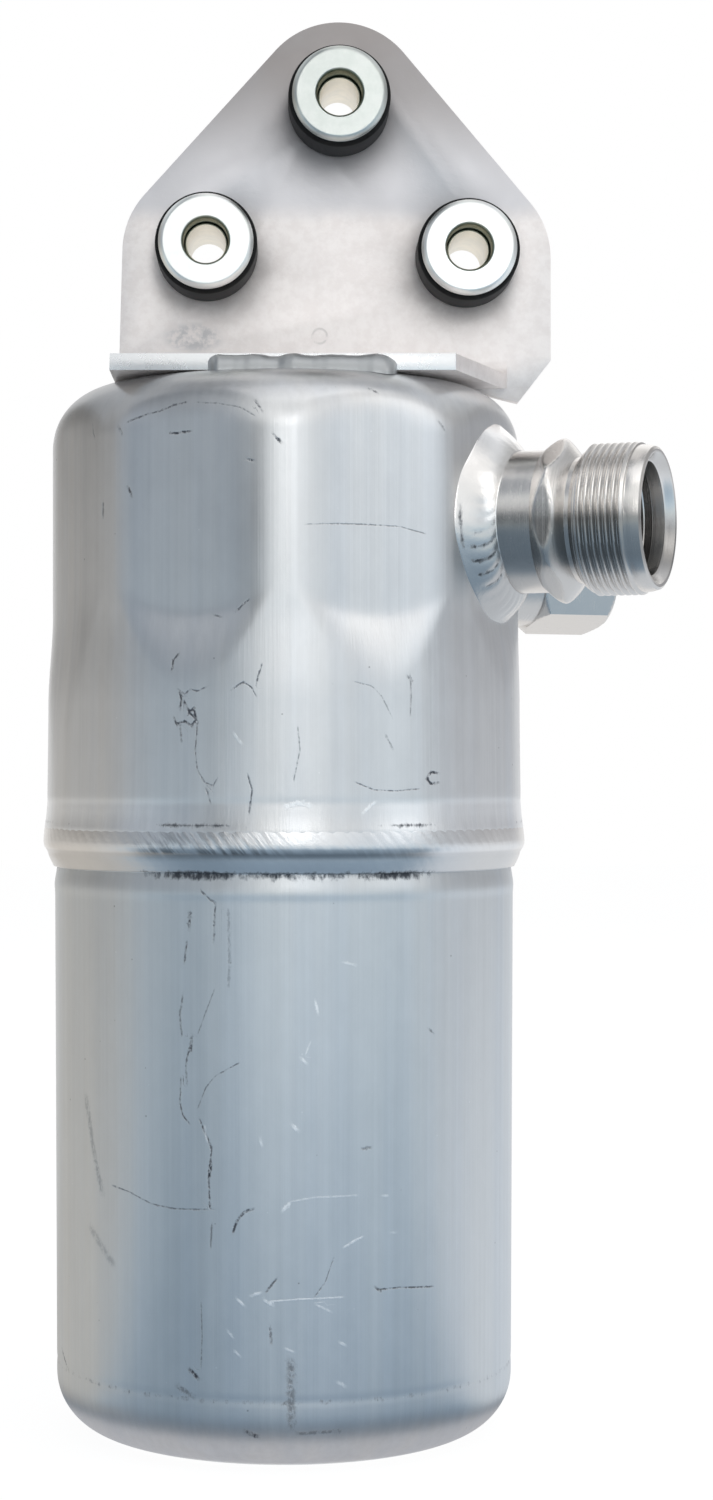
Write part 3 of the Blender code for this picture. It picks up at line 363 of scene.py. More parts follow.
DARK_SCRATCHES = {
    "arch of flat one": (0.35, 0.8, [(126, 421), (141, 414), (155, 410), (168, 404), (180, 401)]),
    "arch of flat one, right": (0.25, 0.45, [(193, 401), (214, 402), (238, 406), (252, 414)]),
    "dash on flat one": (0.45, 1.0, [(166, 432), (172, 432), (184, 430)]),
    "specks beside flat one": (0.4, 0.8, [(255, 401), (260, 408)]),
    "speck on the ridge": (0.45, 1.0, [(275, 436), (279, 440)]),
    "speck at flat one's edge": (0.5, 0.9, [(247, 459), (251, 460)]),
    "speck at flat one's left": (0.5, 0.9, [(126, 488), (128, 494)]),
    "speck left of flat one": (0.45, 0.6, [(101, 504), (101, 515)]),
    "speck high on the left": (0.5, 0.6, [(117, 428), (119, 432)]),
    "small line high on the left": (0.35, 0.5, [(88, 424), (91, 436)]),
    "foot of flat one, right": (0.4, 0.8, [(247, 600), (241, 605), (236, 610)]),
    "foot of flat one": (0.4, 0.6, [(213, 615), (217, 616)]),
    "line across flat two": (
        0.22, 0.55, [(308, 524), (340, 523), (376, 524), (405, 526), (428, 533)]),
    "speck over flat two": (0.4, 0.7, [(377, 387), (382, 390)]),
    "speck right of flat two": (0.4, 0.6, [(443, 423), (446, 428)]),
    "slant stroke": (0.4, 0.85, [(171, 668), (172, 660), (176, 655)]),
    "scribble top": (0.3, 0.7, [(179, 690), (184, 694), (190, 689), (197, 691), (205, 687)]),
    "scribble left": (0.4, 0.9, [(179, 691), (181, 700), (180, 707)]),
    "scribble middle": (0.35, 0.9, [(184, 701), (189, 712), (193, 708), (196, 718), (190, 714)]),
    "scribble low": (0.4, 0.9, [(174, 719), (176, 724), (184, 721), (191, 726), (195, 720)]),
    "scribble foot": (0.4, 0.7, [(180, 730), (181, 739)]),
    "short path right": (0.3, 0.75, [(232, 689), (243, 682), (251, 687), (255, 694)]),
    "short path up": (0.3, 0.7, [(256, 684), (258, 676), (261, 666)]),
    "long hook": (
        0.26, 0.7,
        [(197, 724), (195, 750), (197, 769), (204, 782), (213, 786), (216, 780)]),
    "hook foot": (0.3, 0.6, [(206, 788), (210, 801)]),
    "short vertical": (0.3, 0.75, [(248, 776), (252, 790), (249, 812)]),
    "thin vertical": (0.22, 0.5, [(298, 729), (300, 750), (294, 779)]),
    "thin curve right": (0.22, 0.45, [(356, 682), (372, 686), (382, 696), (392, 716)]),
    "dots right": (0.4, 0.5, [(387, 737), (392, 747)]),
    "dotted vertical right": (0.25, 0.5, [(411, 677), (412, 695), (411, 713)]),
    "dot right": (0.5, 0.8, [(410, 678), (412, 680)]),
    "curve above the weld": (0.22, 0.65, [(357, 783), (374, 790), (396, 791), (418, 789)]),
    "small hook mark": (0.45, 1.0, [(437, 773), (431, 772), (427, 778), (431, 784), (437, 783)]),
    "under the weld": (0.35, 0.7, [(202, 892), (208, 898), (215, 903), (214, 921), (213, 940)]),
    "dot low left": (0.6, 1.0, [(189, 914), (189, 926)]),
    "left run one": (0.35, 0.8, [(186, 944), (184, 960)]),
    "left run two": (0.35, 0.6, [(182, 996), (179, 1015), (181, 1034)]),
    "left run three": (0.5, 1.0, [(191, 1038), (190, 1050)]),
    "left run four": (0.35, 0.8, [(188, 1050), (185, 1066), (186, 1082)]),
    "left run five": (0.3, 0.8, [(180, 1080), (179, 1102), (182, 1116), (187, 1122)]),
    "left run six": (0.35, 0.8, [(200, 1122), (205, 1134), (211, 1148), (210, 1160)]),
    "left run seven": (0.55, 1.0, [(210, 1164), (208, 1180)]),
    "left run eight": (0.35, 0.8, [(208, 1180), (209, 1209)]),
    "left run nine": (0.35, 0.6, [(211, 1226), (210, 1246)]),
    "slant above": (0.22, 0.55, [(213, 992), (206, 1010), (198, 1032)]),
    "slant below": (0.22, 0.6, [(237, 1064), (215, 1076), (205, 1088), (198, 1106)]),
    "slack line left": (
        0.25, 0.6, [(112, 1186), (128, 1192), (150, 1204), (173, 1209), (209, 1210)]),
    "hooked stroke": (0.45, 0.9, [(233, 1231), (236, 1222), (243, 1213), (251, 1210)]),
    "small stroke": (0.4, 0.8, [(267, 1291), (271, 1286), (275, 1281)]),
    "faint curve": (0.22, 0.5, [(334, 1259), (326, 1282), (316, 1296)]),
    "level line right": (0.28, 0.8, [(379, 1290), (400, 1288), (433, 1287)]),
    "dot right low": (0.5, 0.7, [(378, 1289), (381, 1291)]),
    "low vertical": (0.25, 0.5, [(200, 1306), (201, 1335), (200, 1366)]),
    "low blot": (0.7, 1.0, [(190, 1372), (195, 1377)]),
    "low red speck": (0.5, 0.6, [(270, 1330), (271, 1342)]),
    "base blot": (0.8, 1.0, [(247, 1434), (254, 1437)]),
    "base smudge": (1.6, 0.55, [(291, 1365), (291, 1395), (292, 1425)]),
    "base smudge left": (1.0, 0.5, [(178, 1388), (190, 1396)]),
    "base dirt left": (0.5, 0.6, [(60, 1352), (64, 1366)]),
    "base dirt": (0.6, 0.5, [(300, 1435), (340, 1432)]),
    "left smear": (1.4, 0.30, [(85, 1100), (92, 1150), (100, 1190)]),
    "left smear low": (1.6, 0.25, [(90, 1230), (110, 1262)]),
    "left vertical faint": (0.5, 0.3, [(228, 912), (229, 960), (228, 985)]),
    "right fleck": (0.5, 0.5, [(364, 1149), (370, 1148)]),
    "right flecks": (0.4, 0.5, [(431, 1030), (433, 1032)]),
}

BRIGHT_NICKS = {
    "nick one": (0.4, 0.9, [(316, 1003), (318, 1012)]),
    "nick two": (0.5, 1.0, [(303, 1060), (305, 1062)]),
    "nick two tail": (0.3, 0.6, [(306, 1054), (310, 1044)]),
    "nick three": (0.65, 1.0, [(294, 1127), (296, 1129)]),
    "nick four": (0.45, 0.8, [(260, 1140), (261, 1144)]),
    "nick five": (0.6, 1.0, [(284, 1210), (289, 1205)]),
    "nick five line": (0.3, 0.5, [(292, 1202), (315, 1198), (356, 1196)]),
    "nick six": (0.35, 0.8, [(346, 1247), (354, 1242), (362, 1238)]),
    "nick seven": (0.4, 0.7, [(385, 1196), (387, 1196)]),
    "nick eight": (0.4, 0.6, [(393, 1233), (395, 1233)]),
    "nick nine": (0.5, 1.0, [(238, 1301), (242, 1305)]),
    "nick ten": (0.5, 1.0, [(252, 1296), (258, 1294)]),
    "nick eleven": (0.5, 1.0, [(266, 1302), (271, 1305)]),
    "nick line": (0.28, 0.7, [(271, 1302), (300, 1300), (342, 1298)]),
    "nick twelve": (0.4, 0.6, [(318, 1306), (330, 1312)]),
    "nick thirteen": (0.5, 0.8, [(342, 1344), (344, 1345)]),
    "nick fourteen": (0.4, 0.7, [(228, 1333), (231, 1337)]),
    "nick fifteen": (0.4, 0.7, [(235, 1353), (238, 1356)]),
    "nick sixteen": (0.6, 0.6, [(340, 1384), (344, 1386)]),
    "nick seventeen": (0.4, 0.5, [(345, 963), (355, 965)]),
    "nick eighteen": (0.4, 0.6, [(204, 1128), (206, 1140)]),
    "nick nineteen": (0.4, 0.6, [(287, 1350), (292, 1352)]),
    "scuff at the lap": (0.8, 0.8, [(287, 806), (298, 803), (308, 805)]),
    "scuff at the lap, right": (0.5, 0.8, [(364, 812), (370, 806), (374, 803)]),
    "scuff left": (0.45, 0.6, [(234, 734), (240, 742)]),
}


def on_can(pixel, radius):
    """Where a pixel of the photograph falls on a cylinder about the can's axis, as the distance
    round it from the front and the height."""
    slope = (pixel[0] - AXIS_PIXEL[0]) / FOCAL_PIXELS
    a = 1 + slope * slope
    b = 2 * CAMERA_DISTANCE * slope * slope
    c = (CAMERA_DISTANCE * slope) ** 2 - radius ** 2
    y = (-b - math.sqrt(max(b * b - 4 * a * c, 0))) / (2 * a)
    depth = CAMERA_DISTANCE + y
    angle = math.atan2(slope * depth, -y)
    return radius * angle, CAMERA_HEIGHT + (AXIS_PIXEL[1] - pixel[1]) * depth / FOCAL_PIXELS


def paint(piece, name, values):
    layer = piece.data.attributes.new(name, "FLOAT", "POINT")
    layer.data.foreach_set("value", np.asarray(values, dtype=np.float32))


def coordinates(piece):
    flat = np.empty(len(piece.data.vertices) * 3)
    piece.data.vertices.foreach_get("co", flat)
    return flat.reshape(-1, 3)


def drawn_marks(points, marks, radius):
    """Which side of its nearest mark each point of a skin lies on, in half widths of the mark,
    and how strong that mark is there. The shader draws the fine line where the side changes."""
    around = radius * np.arctan2(points[:, 0], -points[:, 1])
    height = points[:, 2]
    outside = np.hypot(points[:, 0], points[:, 1]) > radius - 0.004
    nearest = np.full(len(points), 1.0)
    side = np.zeros(len(points))
    strength = np.zeros(len(points))
    for width, opacity, pixels in marks.values():
        run = [on_can(pixel, radius) for pixel in pixels]
        half = width * MARK_HALF_WIDTH
        for (u0, v0), (u1, v1) in zip(run[:-1], run[1:]):
            along = np.array((u1 - u0, v1 - v0))
            length = max(float(np.hypot(*along)), 1e-6)
            along = along / length
            share = (around - u0) * along[0] + (height - v0) * along[1]
            across = (height - v0) * along[0] - (around - u0) * along[1]
            beyond = np.maximum(np.maximum(-share, share - length), 0)
            distance = np.hypot(across, beyond)
            closer = distance < nearest
            fade = np.exp(-(across / MARK_REACH) ** 2 - (beyond / (half + MARK_END_FADE)) ** 2)
            nearest = np.where(closer, distance, nearest)
            side = np.where(closer, across / half, side)
            strength = np.where(closer, opacity * fade, strength)
    return np.clip(side, -6, 6) * outside, strength * outside


def paint_marks(piece, points, radius):
    for name, marks in (("scratch", DARK_SCRATCHES), ("nick", BRIGHT_NICKS)):
        side, strength = drawn_marks(points, marks, radius)
        paint(piece, name, strength)
        paint(piece, f"{name}_side", 0.5 + side / MARK_SIDE_SCALE)


# Can

FRONT_HALF_ANGLE = math.radians(62)
FRONT_STEP = math.radians(0.5)
BACK_STEP = math.radians(1.8)


def can_angles():
    """Azimuths round the can, close together where the photograph looks."""
    front = np.arange(-FRONT_HALF_ANGLE, FRONT_HALF_ANGLE, FRONT_STEP)
    count = round((math.tau - 2 * FRONT_HALF_ANGLE) / BACK_STEP)
    back = np.linspace(FRONT_HALF_ANGLE, math.tau - FRONT_HALF_ANGLE, count, endpoint=False)
    return np.concatenate((front, back))


def pressed(radius, height, azimuth, inset=0.0):
    """The can's radius once its flats are pressed in: each has soft sides and an arched foot
    that eases out to the wall, and the press has drawn the wall in a little at the sides."""
    turn = (np.mod(azimuth / FLAT_PITCH, 1) - 0.5) * FLAT_PITCH
    across = FLAT_PLANE * np.tan(turn)
    crease = FLAT_FOOT_HEIGHT + FLAT_FOOT_ARCH * (across / FLAT_HALF_WIDTH) ** 2
    bearing = np.degrees(np.mod(azimuth + math.pi, math.tau) - math.pi)
    at_the_side = bell(bearing, -72, 22)
    spread = 0.0006 + 0.0030 * at_the_side
    below = spread * np.logaddexp(0, (crease - height) / spread)
    runout = FLAT_RUNOUT_SLOPE * (1 - 0.60 * at_the_side) * below
    plane = (FLAT_PLANE - inset + runout) / np.cos(turn)
    drawn_in = 0.00045 + 0.00065 * bell(bearing, -97, 30)
    drawn_in = drawn_in * smooth_step(height, FLAT_FOOT_HEIGHT - 0.0150, FLAT_FOOT_HEIGHT + 0.0020)
    return smooth_min(radius - drawn_in, plane, 0.0015)


def can_rings(profile, angles, inset=0.0, press=True):
    rings = []
    for radius, height in profile:
        r = np.full(len(angles), radius)
        if press and radius > FLAT_PLANE * 0.8:
            r = pressed(r, height, angles, inset)
        rings.append(np.stack((r * np.sin(angles), -r * np.cos(angles),
                               np.full(len(angles), height)), axis=1))
    return rings


def upper_profile_radius(height):
    """The drawn wall: a faint witness ring over the lap and a little flare below it."""
    ring_height = SPIGOT_TOP
    groove = 0.00004 * bell(height, ring_height + 0.0003, 0.0008)
    flare = 0.00010 * np.clip((GIRTH_TOP + 0.0110 - height) / 0.0110, 0, 1.1) ** 2
    flare = flare + 0.00027 * np.clip((GIRTH_TOP + 0.0044 - height) / 0.0044, 0, 1.2) ** 2
    waist = 0.00018 * bell(height, 0.137, 0.012)
    return BODY_RADIUS - groove + flare - waist


def upper_shell():
    top, corner = CAN_HEIGHT, SHOULDER_RADIUS
    wall_top = top - corner
    shoulder = arc((BODY_RADIUS - corner, wall_top), corner, 90, 0, 26)
    outer = [(0.0, top), (0.012, top), (0.022, top), (0.029, top), *shoulder]
    heights = np.linspace(wall_top, UPPER_RIM_HEIGHT, 175)[1:]
    outer += [(float(upper_profile_radius(h)), float(h)) for h in heights]
    inner_corner = corner - WALL
    centre = (BODY_RADIUS - corner, wall_top)
    inner = [(BODY_RADIUS - WALL, UPPER_RIM_HEIGHT), (BODY_RADIUS - WALL, 0.145)]
    inner += line((BODY_RADIUS - WALL, 0.149), (BODY_RADIUS - WALL, 0.160), 0.001)
    inner += [(BODY_RADIUS - WALL, 0.176), *arc(centre, inner_corner, 0, 90, 6),
              (0.02, top - WALL), (0.0, top - WALL)]
    angles = can_angles()
    rings = can_rings(outer, angles) + can_rings(inner, angles, WALL)
    piece = skin("upper_shell_skin", rings)
    for place, radius in ((OUTLET, 0.0109), (INLET, 0.0083)):
        hole = turned("hole", [(0, 0.06), (radius, 0.06), (radius, 0.03), (0, 0.03)], 48, place,
                      closed=False)
        combine(piece, hole, "DIFFERENCE")
    return smooth(piece)


def lower_radius(height):
    """The cup's wall: tapered, with a swage under the weld and a ring above its base corner."""
    share = (GIRTH_FOOT - height) / (GIRTH_FOOT - BASE_CORNER_RADIUS)
    swage = 0.00010 * smooth_step(height, GIRTH_FOOT - 0.0050, GIRTH_FOOT - 0.0034)
    swage = swage - 0.00055 * smooth_step(height, GIRTH_FOOT - 0.0036, GIRTH_FOOT + 0.0010)
    ring = 0.00007 * bell(height, 0.0134, 0.0007)
    return LOWER_RADIUS - 0.00015 - LOWER_TAPER * np.clip(share, 0, 1) + swage - ring


def lower_shell():
    base_radius = LOWER_RADIUS - LOWER_TAPER - 0.00015
    centre = (base_radius - BASE_CORNER_RADIUS, BASE_CORNER_RADIUS)
    spigot_foot = GIRTH_FOOT + 0.004
    outer = [(SPIGOT_RADIUS - 0.0008, SPIGOT_TOP), (SPIGOT_RADIUS, SPIGOT_TOP - 0.0008),
             (SPIGOT_RADIUS, spigot_foot), (LOWER_RADIUS, GIRTH_FOOT + 0.001)]
    heights = np.linspace(GIRTH_FOOT, BASE_CORNER_RADIUS, 195)
    outer += [(float(lower_radius(h)), float(h)) for h in heights]
    outer += arc(centre, BASE_CORNER_RADIUS, 0, -90, 22)[1:]
    outer += [(0.020, 0.0), (0.0, 0.0)]
    inner = [(0.0, WALL), *arc(centre, BASE_CORNER_RADIUS - WALL, -90, 0, 6),
             (LOWER_RADIUS - WALL, GIRTH_FOOT + 0.001), (SPIGOT_RADIUS - WALL, spigot_foot),
             (SPIGOT_RADIUS - WALL, SPIGOT_TOP)]
    rings = can_rings(inner + outer, can_angles(), press=False)
    return smooth(skin("lower_shell_skin", rings))


def girth_weld():
    """The bead: a rippled crown above a smoother lower fillet."""
    columns = 900
    angles = np.linspace(-math.pi, math.pi, columns, endpoint=False)
    crown = GIRTH_RADIUS - 0.00012
    outline = [
        (BODY_RADIUS - 0.0002, GIRTH_TOP + 0.0001),
        (BODY_RADIUS + 0.00038, GIRTH_TOP - 0.0004),
        (crown - 0.00024, GIRTH_TOP - 0.0010),
        (crown - 0.00014, GIRTH_TOP - 0.0018),
        (crown - 0.00006, GIRTH_TOP - 0.0026),
        (crown, GIRTH_TOP - 0.0034),
        (crown - 0.00003, GIRTH_TOP - 0.0041),
        (crown - 0.00022, GIRTH_TOP - 0.0047),
        (crown - 0.00056, GIRTH_TOP - 0.0052),
        (crown - 0.00080, GIRTH_TOP - 0.0056),
        (crown - 0.00096, GIRTH_TOP - 0.0063),
        (crown - 0.00140, GIRTH_TOP - 0.0073),
        (crown - 0.00172, GIRTH_TOP - 0.0079),
        (crown - 0.00190, GIRTH_TOP - 0.0083),
        (LOWER_RADIUS - 0.0002, GIRTH_FOOT + 0.0001),
    ]
    share = np.linspace(0, 1, len(outline))
    fine = np.linspace(0, 1, 44)
    radii = np.interp(fine, share, [r for r, _ in outline])
    heights = np.interp(fine, share, [h for _, h in outline])
    rings = []
    for t, radius, height in zip(fine, radii, heights):
        around = angles * BODY_RADIUS
        slant = around / 0.00125 * math.pi * 2 * 0.5 + (height - GIRTH_TOP) * 2200
        wander = 1.3 * ripple_noise(around * 260, around * 97)
        crest = np.abs(np.sin(0.5 * (slant + wander))) ** 0.7 - 0.62
        upper = smooth_step(t, 0.03, 0.14) * (1 - smooth_step(t, 0.44, 0.58))
        lower = smooth_step(t, 0.50, 0.66) * (1 - smooth_step(t, 0.88, 1.0))
        strength = 0.35 + 0.65 * ripple_noise(around * 41, around * 17) ** 2
        rise = (0.00006 * upper + 0.00003 * lower) * crest * strength
        drift = 0.00012 * ripple_noise(around * 33, around * 71) * smooth_step(t, 0.0, 0.2)
        r = np.minimum(radius + rise, GIRTH_RADIUS)
        h = np.full(columns, height) + drift * (1 - t) - 0.0001 * t * ripple_noise(around * 55)
        rings.append(np.stack((r * np.sin(angles), -r * np.cos(angles), h), axis=1))
    inside = BODY_RADIUS - 0.0006
    low_inside = LOWER_RADIUS - 0.0006
    for r, h in ((low_inside, GIRTH_FOOT + 0.0006), (low_inside, UPPER_RIM_HEIGHT - 0.0010),
                 (inside, UPPER_RIM_HEIGHT + 0.0002), (inside, GIRTH_TOP - 0.0006)):
        rings.append(np.stack((r * np.sin(angles), -r * np.cos(angles),
                               np.full(columns, h)), axis=1))
    return smooth(skin("girth_weld_bead", rings, closed=True), 50)


def skin_out(across, up, azimuth, port_height):
    """How far out from the can's axis its skin lies, along a port's direction."""
    height = port_height + up
    wall_top = CAN_HEIGHT - SHOULDER_RADIUS
    above = np.clip(height - wall_top, 0, SHOULDER_RADIUS)
    radius = BODY_RADIUS - SHOULDER_RADIUS + np.sqrt(SHOULDER_RADIUS ** 2 - above ** 2)
    out = np.sqrt(np.maximum(radius ** 2 - across ** 2, 1e-8))
    for _ in range(4):
        r = np.hypot(across, out)
        real = pressed(radius, height, azimuth + np.arctan2(across, out))
        out = np.sqrt(np.maximum(np.minimum(r, real) ** 2 - across ** 2, 1e-8))
    return out


def port_weld(name, place, azimuth, port_height, neck, spread, rise, top_out, pitch):
    """A fillet of stacked ripples round a port, laid on the pressed skin."""
    columns = 240
    rows = 26
    angles = np.linspace(0, math.tau, columns, endpoint=False)
    rings = []
    for row in range(rows + 1):
        t = row / rows
        toe = spread * (1 + 0.06 * ripple_noise(angles * 3, angles * 7)
                        + 0.10 * np.maximum(-np.sin(angles), 0))
        radius = neck - 0.0002 + (toe + 0.0002) * t
        across, up = radius * np.cos(angles), radius * np.sin(angles)
        base = skin_out(across, up, azimuth, port_height)
        crown = (1 - t) ** 1.15 + 0.16 * math.sin(math.pi * t)
        phase = stacked_ripples(angles, radius, neck, spread, pitch)
        scallop = np.abs(np.sin(math.pi * phase)) ** 0.8 - 0.6
        stacked = 0.15 + 0.85 * bell(angles, 1.27 * math.pi, 0.75)
        ripple = 0.00026 * scallop * stacked * math.sin(math.pi * min(1, t * 1.15)) ** 0.8
        out = base + (top_out - FLAT_PLANE) * crown * rise + ripple - 0.00008 * (t == 1)
        out = np.where(row == 0, top_out - 0.0002, out)
        rings.append(np.stack((across, up, out), axis=1))
    toe_ring = rings[-1].copy()
    buried = toe_ring.copy()
    buried[:, 2] -= 0.0010
    inner = rings[0].copy()
    inner[:, 2] = buried[:, 2].min()
    rings += [buried, inner]
    piece = skin(name, rings, closed=True)
    piece.data.transform(place)
    return smooth(piece, 60)


def stacked_ripples(angle, distance, neck, spread, pitch):
    """How far along its own ripple each point of a port's weld lies."""
    middle = neck + spread * 0.5
    return (angle * middle + 1.2 * (distance - middle) ** 2 / spread) / pitch


def round_port(piece, place):
    """Each point's distance from a port's axis and its angle round it."""
    inverse = np.array(place.inverted())
    points = coordinates(piece) @ inverse[:3, :3].T + inverse[:3, 3]
    angle = np.mod(np.arctan2(points[:, 1], points[:, 0]), math.tau)
    return np.hypot(points[:, 0], points[:, 1]), angle


# Ports

def hexagon_radius(angles, across_flats, turn):
    """The distance from a hexagonal bar's axis to its side, at each angle."""
    sector = math.pi / 3
    offset = np.mod(angles - turn, sector) - sector / 2
    return across_flats / 2 / np.cos(offset)


def outlet_fitting():
    """Neck, coned hexagon, groove, helical thread, nose and stepped bore."""
    columns = 144
    angles = np.linspace(0, math.tau, columns, endpoint=False)
    neck, groove = 0.0131, 0.0116
    start, peak, end_collar = 0.0530, 0.0560, 0.0590
    crest, root, pitch = 0.0139, 0.01325, 0.00127
    thread_start, nose_start, end = 0.0608, 0.0707, 0.0735
    corner = 0.0270 / 2 / math.cos(math.pi / 6)
    stations = [0.0420, 0.0480, 0.0526]
    stations += list(np.linspace(start, end_collar, 22))
    stations += [0.0593, 0.0598, 0.0603]
    stations += list(np.arange(thread_start, nose_start, pitch / 10))
    stations += list(np.linspace(nose_start, end - 0.0003, 7)) + [end]
    rings = []
    for out in stations:
        if out < start:
            radius = np.full(columns, neck)
        elif out <= end_collar:
            rear = neck + (corner - neck) * (out - start) / (peak - start)
            front = groove + (corner - groove) * (end_collar - out) / (end_collar - peak)
            cone = min(rear, front)
            radius = smooth_min(cone, hexagon_radius(angles, 0.0275, math.pi / 6), 0.0003)
            radius = smooth_min(radius, corner - 0.0004, 0.0006)
        elif out < thread_start:
            radius = np.full(columns, groove)
            if out > 0.0600:
                radius += (out - 0.0600) * 1.6
        elif out < nose_start:
            turn = np.mod(out / pitch - angles / math.tau, 1)
            tooth = 1 - np.abs(2 * turn - 1)
            form = np.clip((tooth - 0.12) / 0.72, 0, 1)
            run_in = smooth_step(out, thread_start, thread_start + pitch)
            run_out = 1 - smooth_step(out, nose_start - pitch * 0.8, nose_start)
            base = groove + 0.0012 + (root - groove - 0.0012) * run_in
            radius = base + (crest - root) * form * run_in
            radius = radius + (0.01345 - root) * (1 - run_out) * (1 - form)
        else:
            share = (out - nose_start) / (end - nose_start)
            radius = np.full(columns, 0.0134 - 0.0005 * share ** 2)
            if out == end:
                radius = radius - 0.0004
        rings.append(np.stack((radius * np.cos(angles), radius * np.sin(angles),
                               np.full(columns, out)), axis=1))
    bore = [(0.01225, end), (0.01195, end - 0.0001), (0.01095, end - 0.0011),
            (0.01075, end - 0.0014), (0.01035, end - 0.0017),
            (0.01015, end - 0.0040), (0.01035, end - 0.0042), (0.01035, end - 0.0055),
            (0.01015, end - 0.0057), (0.01015, 0.0480), (0.0083, 0.04635), (0.0083, 0.0375),
            (0.0106, 0.0375), (0.0106, 0.0420)]
    for radius, out in bore:
        rings.append(np.stack((radius * np.cos(angles), radius * np.sin(angles),
                               np.full(columns, out)), axis=1))
    piece = skin("outlet_fitting_turned", rings, closed=True)
    piece.data.transform(OUTLET)
    return smooth(piece, 26)


def inlet_fitting():
    """Round neck, chamfered hexagon and threaded bore."""
    columns = 144
    angles = np.linspace(0, math.tau, columns, endpoint=False)
    neck = 0.0096
    start, end = 0.0515, 0.0670
    corner = 0.0196 / 2 / math.cos(math.pi / 6)
    turn = math.radians(42.5)
    stations = [0.0405, 0.0470, 0.0513]
    stations += list(np.linspace(start, start + 0.0020, 8))
    stations += list(np.linspace(start + 0.0030, end - 0.0030, 4))
    stations += list(np.linspace(end - 0.0020, end, 8))
    rings = []
    for out in stations:
        if out < start:
            radius = np.full(columns, neck)
        else:
            edge = min(out - start, end - out)
            cone = corner - 0.0014 + edge
            radius = np.minimum(cone, hexagon_radius(angles, 0.0196, turn))
        rings.append(np.stack((radius * np.cos(angles), radius * np.sin(angles),
                               np.full(columns, out)), axis=1))
    pitch = 0.00125
    rings.append(np.stack((0.0074 * np.cos(angles), 0.0074 * np.sin(angles),
                           np.full(columns, end)), axis=1))
    for out in np.arange(end - 0.0009, end - 0.0100, -pitch / 6):
        groove = 1 - np.abs(2 * np.mod(out / pitch - angles / math.tau, 1) - 1)
        radius = 0.0063 + 0.00045 * groove * smooth_step(out, end - 0.0100, end - 0.0090)
        rings.append(np.stack((radius * np.cos(angles), radius * np.sin(angles),
                               np.full(columns, out)), axis=1))
    for radius, out in ((0.0063, 0.0565), (0.0063, 0.0375), (0.0080, 0.0375), (0.0080, 0.0405)):
        rings.append(np.stack((radius * np.cos(angles), radius * np.sin(angles),
                               np.full(columns, out)), axis=1))
    piece = skin("inlet_fitting_turned", rings, closed=True)
    piece.data.transform(INLET)
    return smooth(piece, 26)


# Bracket

def node_centre(name):
    low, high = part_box(name)
    return (low + high) / 2


BUSHINGS = {side: node_centre(f"front_sleeve_{side}") for side in ("left", "top", "right")}
LOBE_RADIUS = 0.0162
FRONT_UP = Matrix.Rotation(math.radians(90), 4, "X")
ALONG_X = Matrix(((0, 0, 1, 0), (1, 0, 0, 0), (0, 1, 0, 0), (0, 0, 0, 1)))
FOOT_FRONT_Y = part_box("mounting_bracket")[0].y
FOOT_RIGHT_X = 0.0310
FOOT_CUT_RIGHT_X = 0.0425
CORNER_CHAMFER = 0.0062
CORNER_ABOVE_FOOT = 0.0057
CORNER_BELOW_FOOT = 0.0023
CORNER_REACH = 0.0070
LEFT_FLARE = 0.0008
BEND_INSIDE = 0.0025


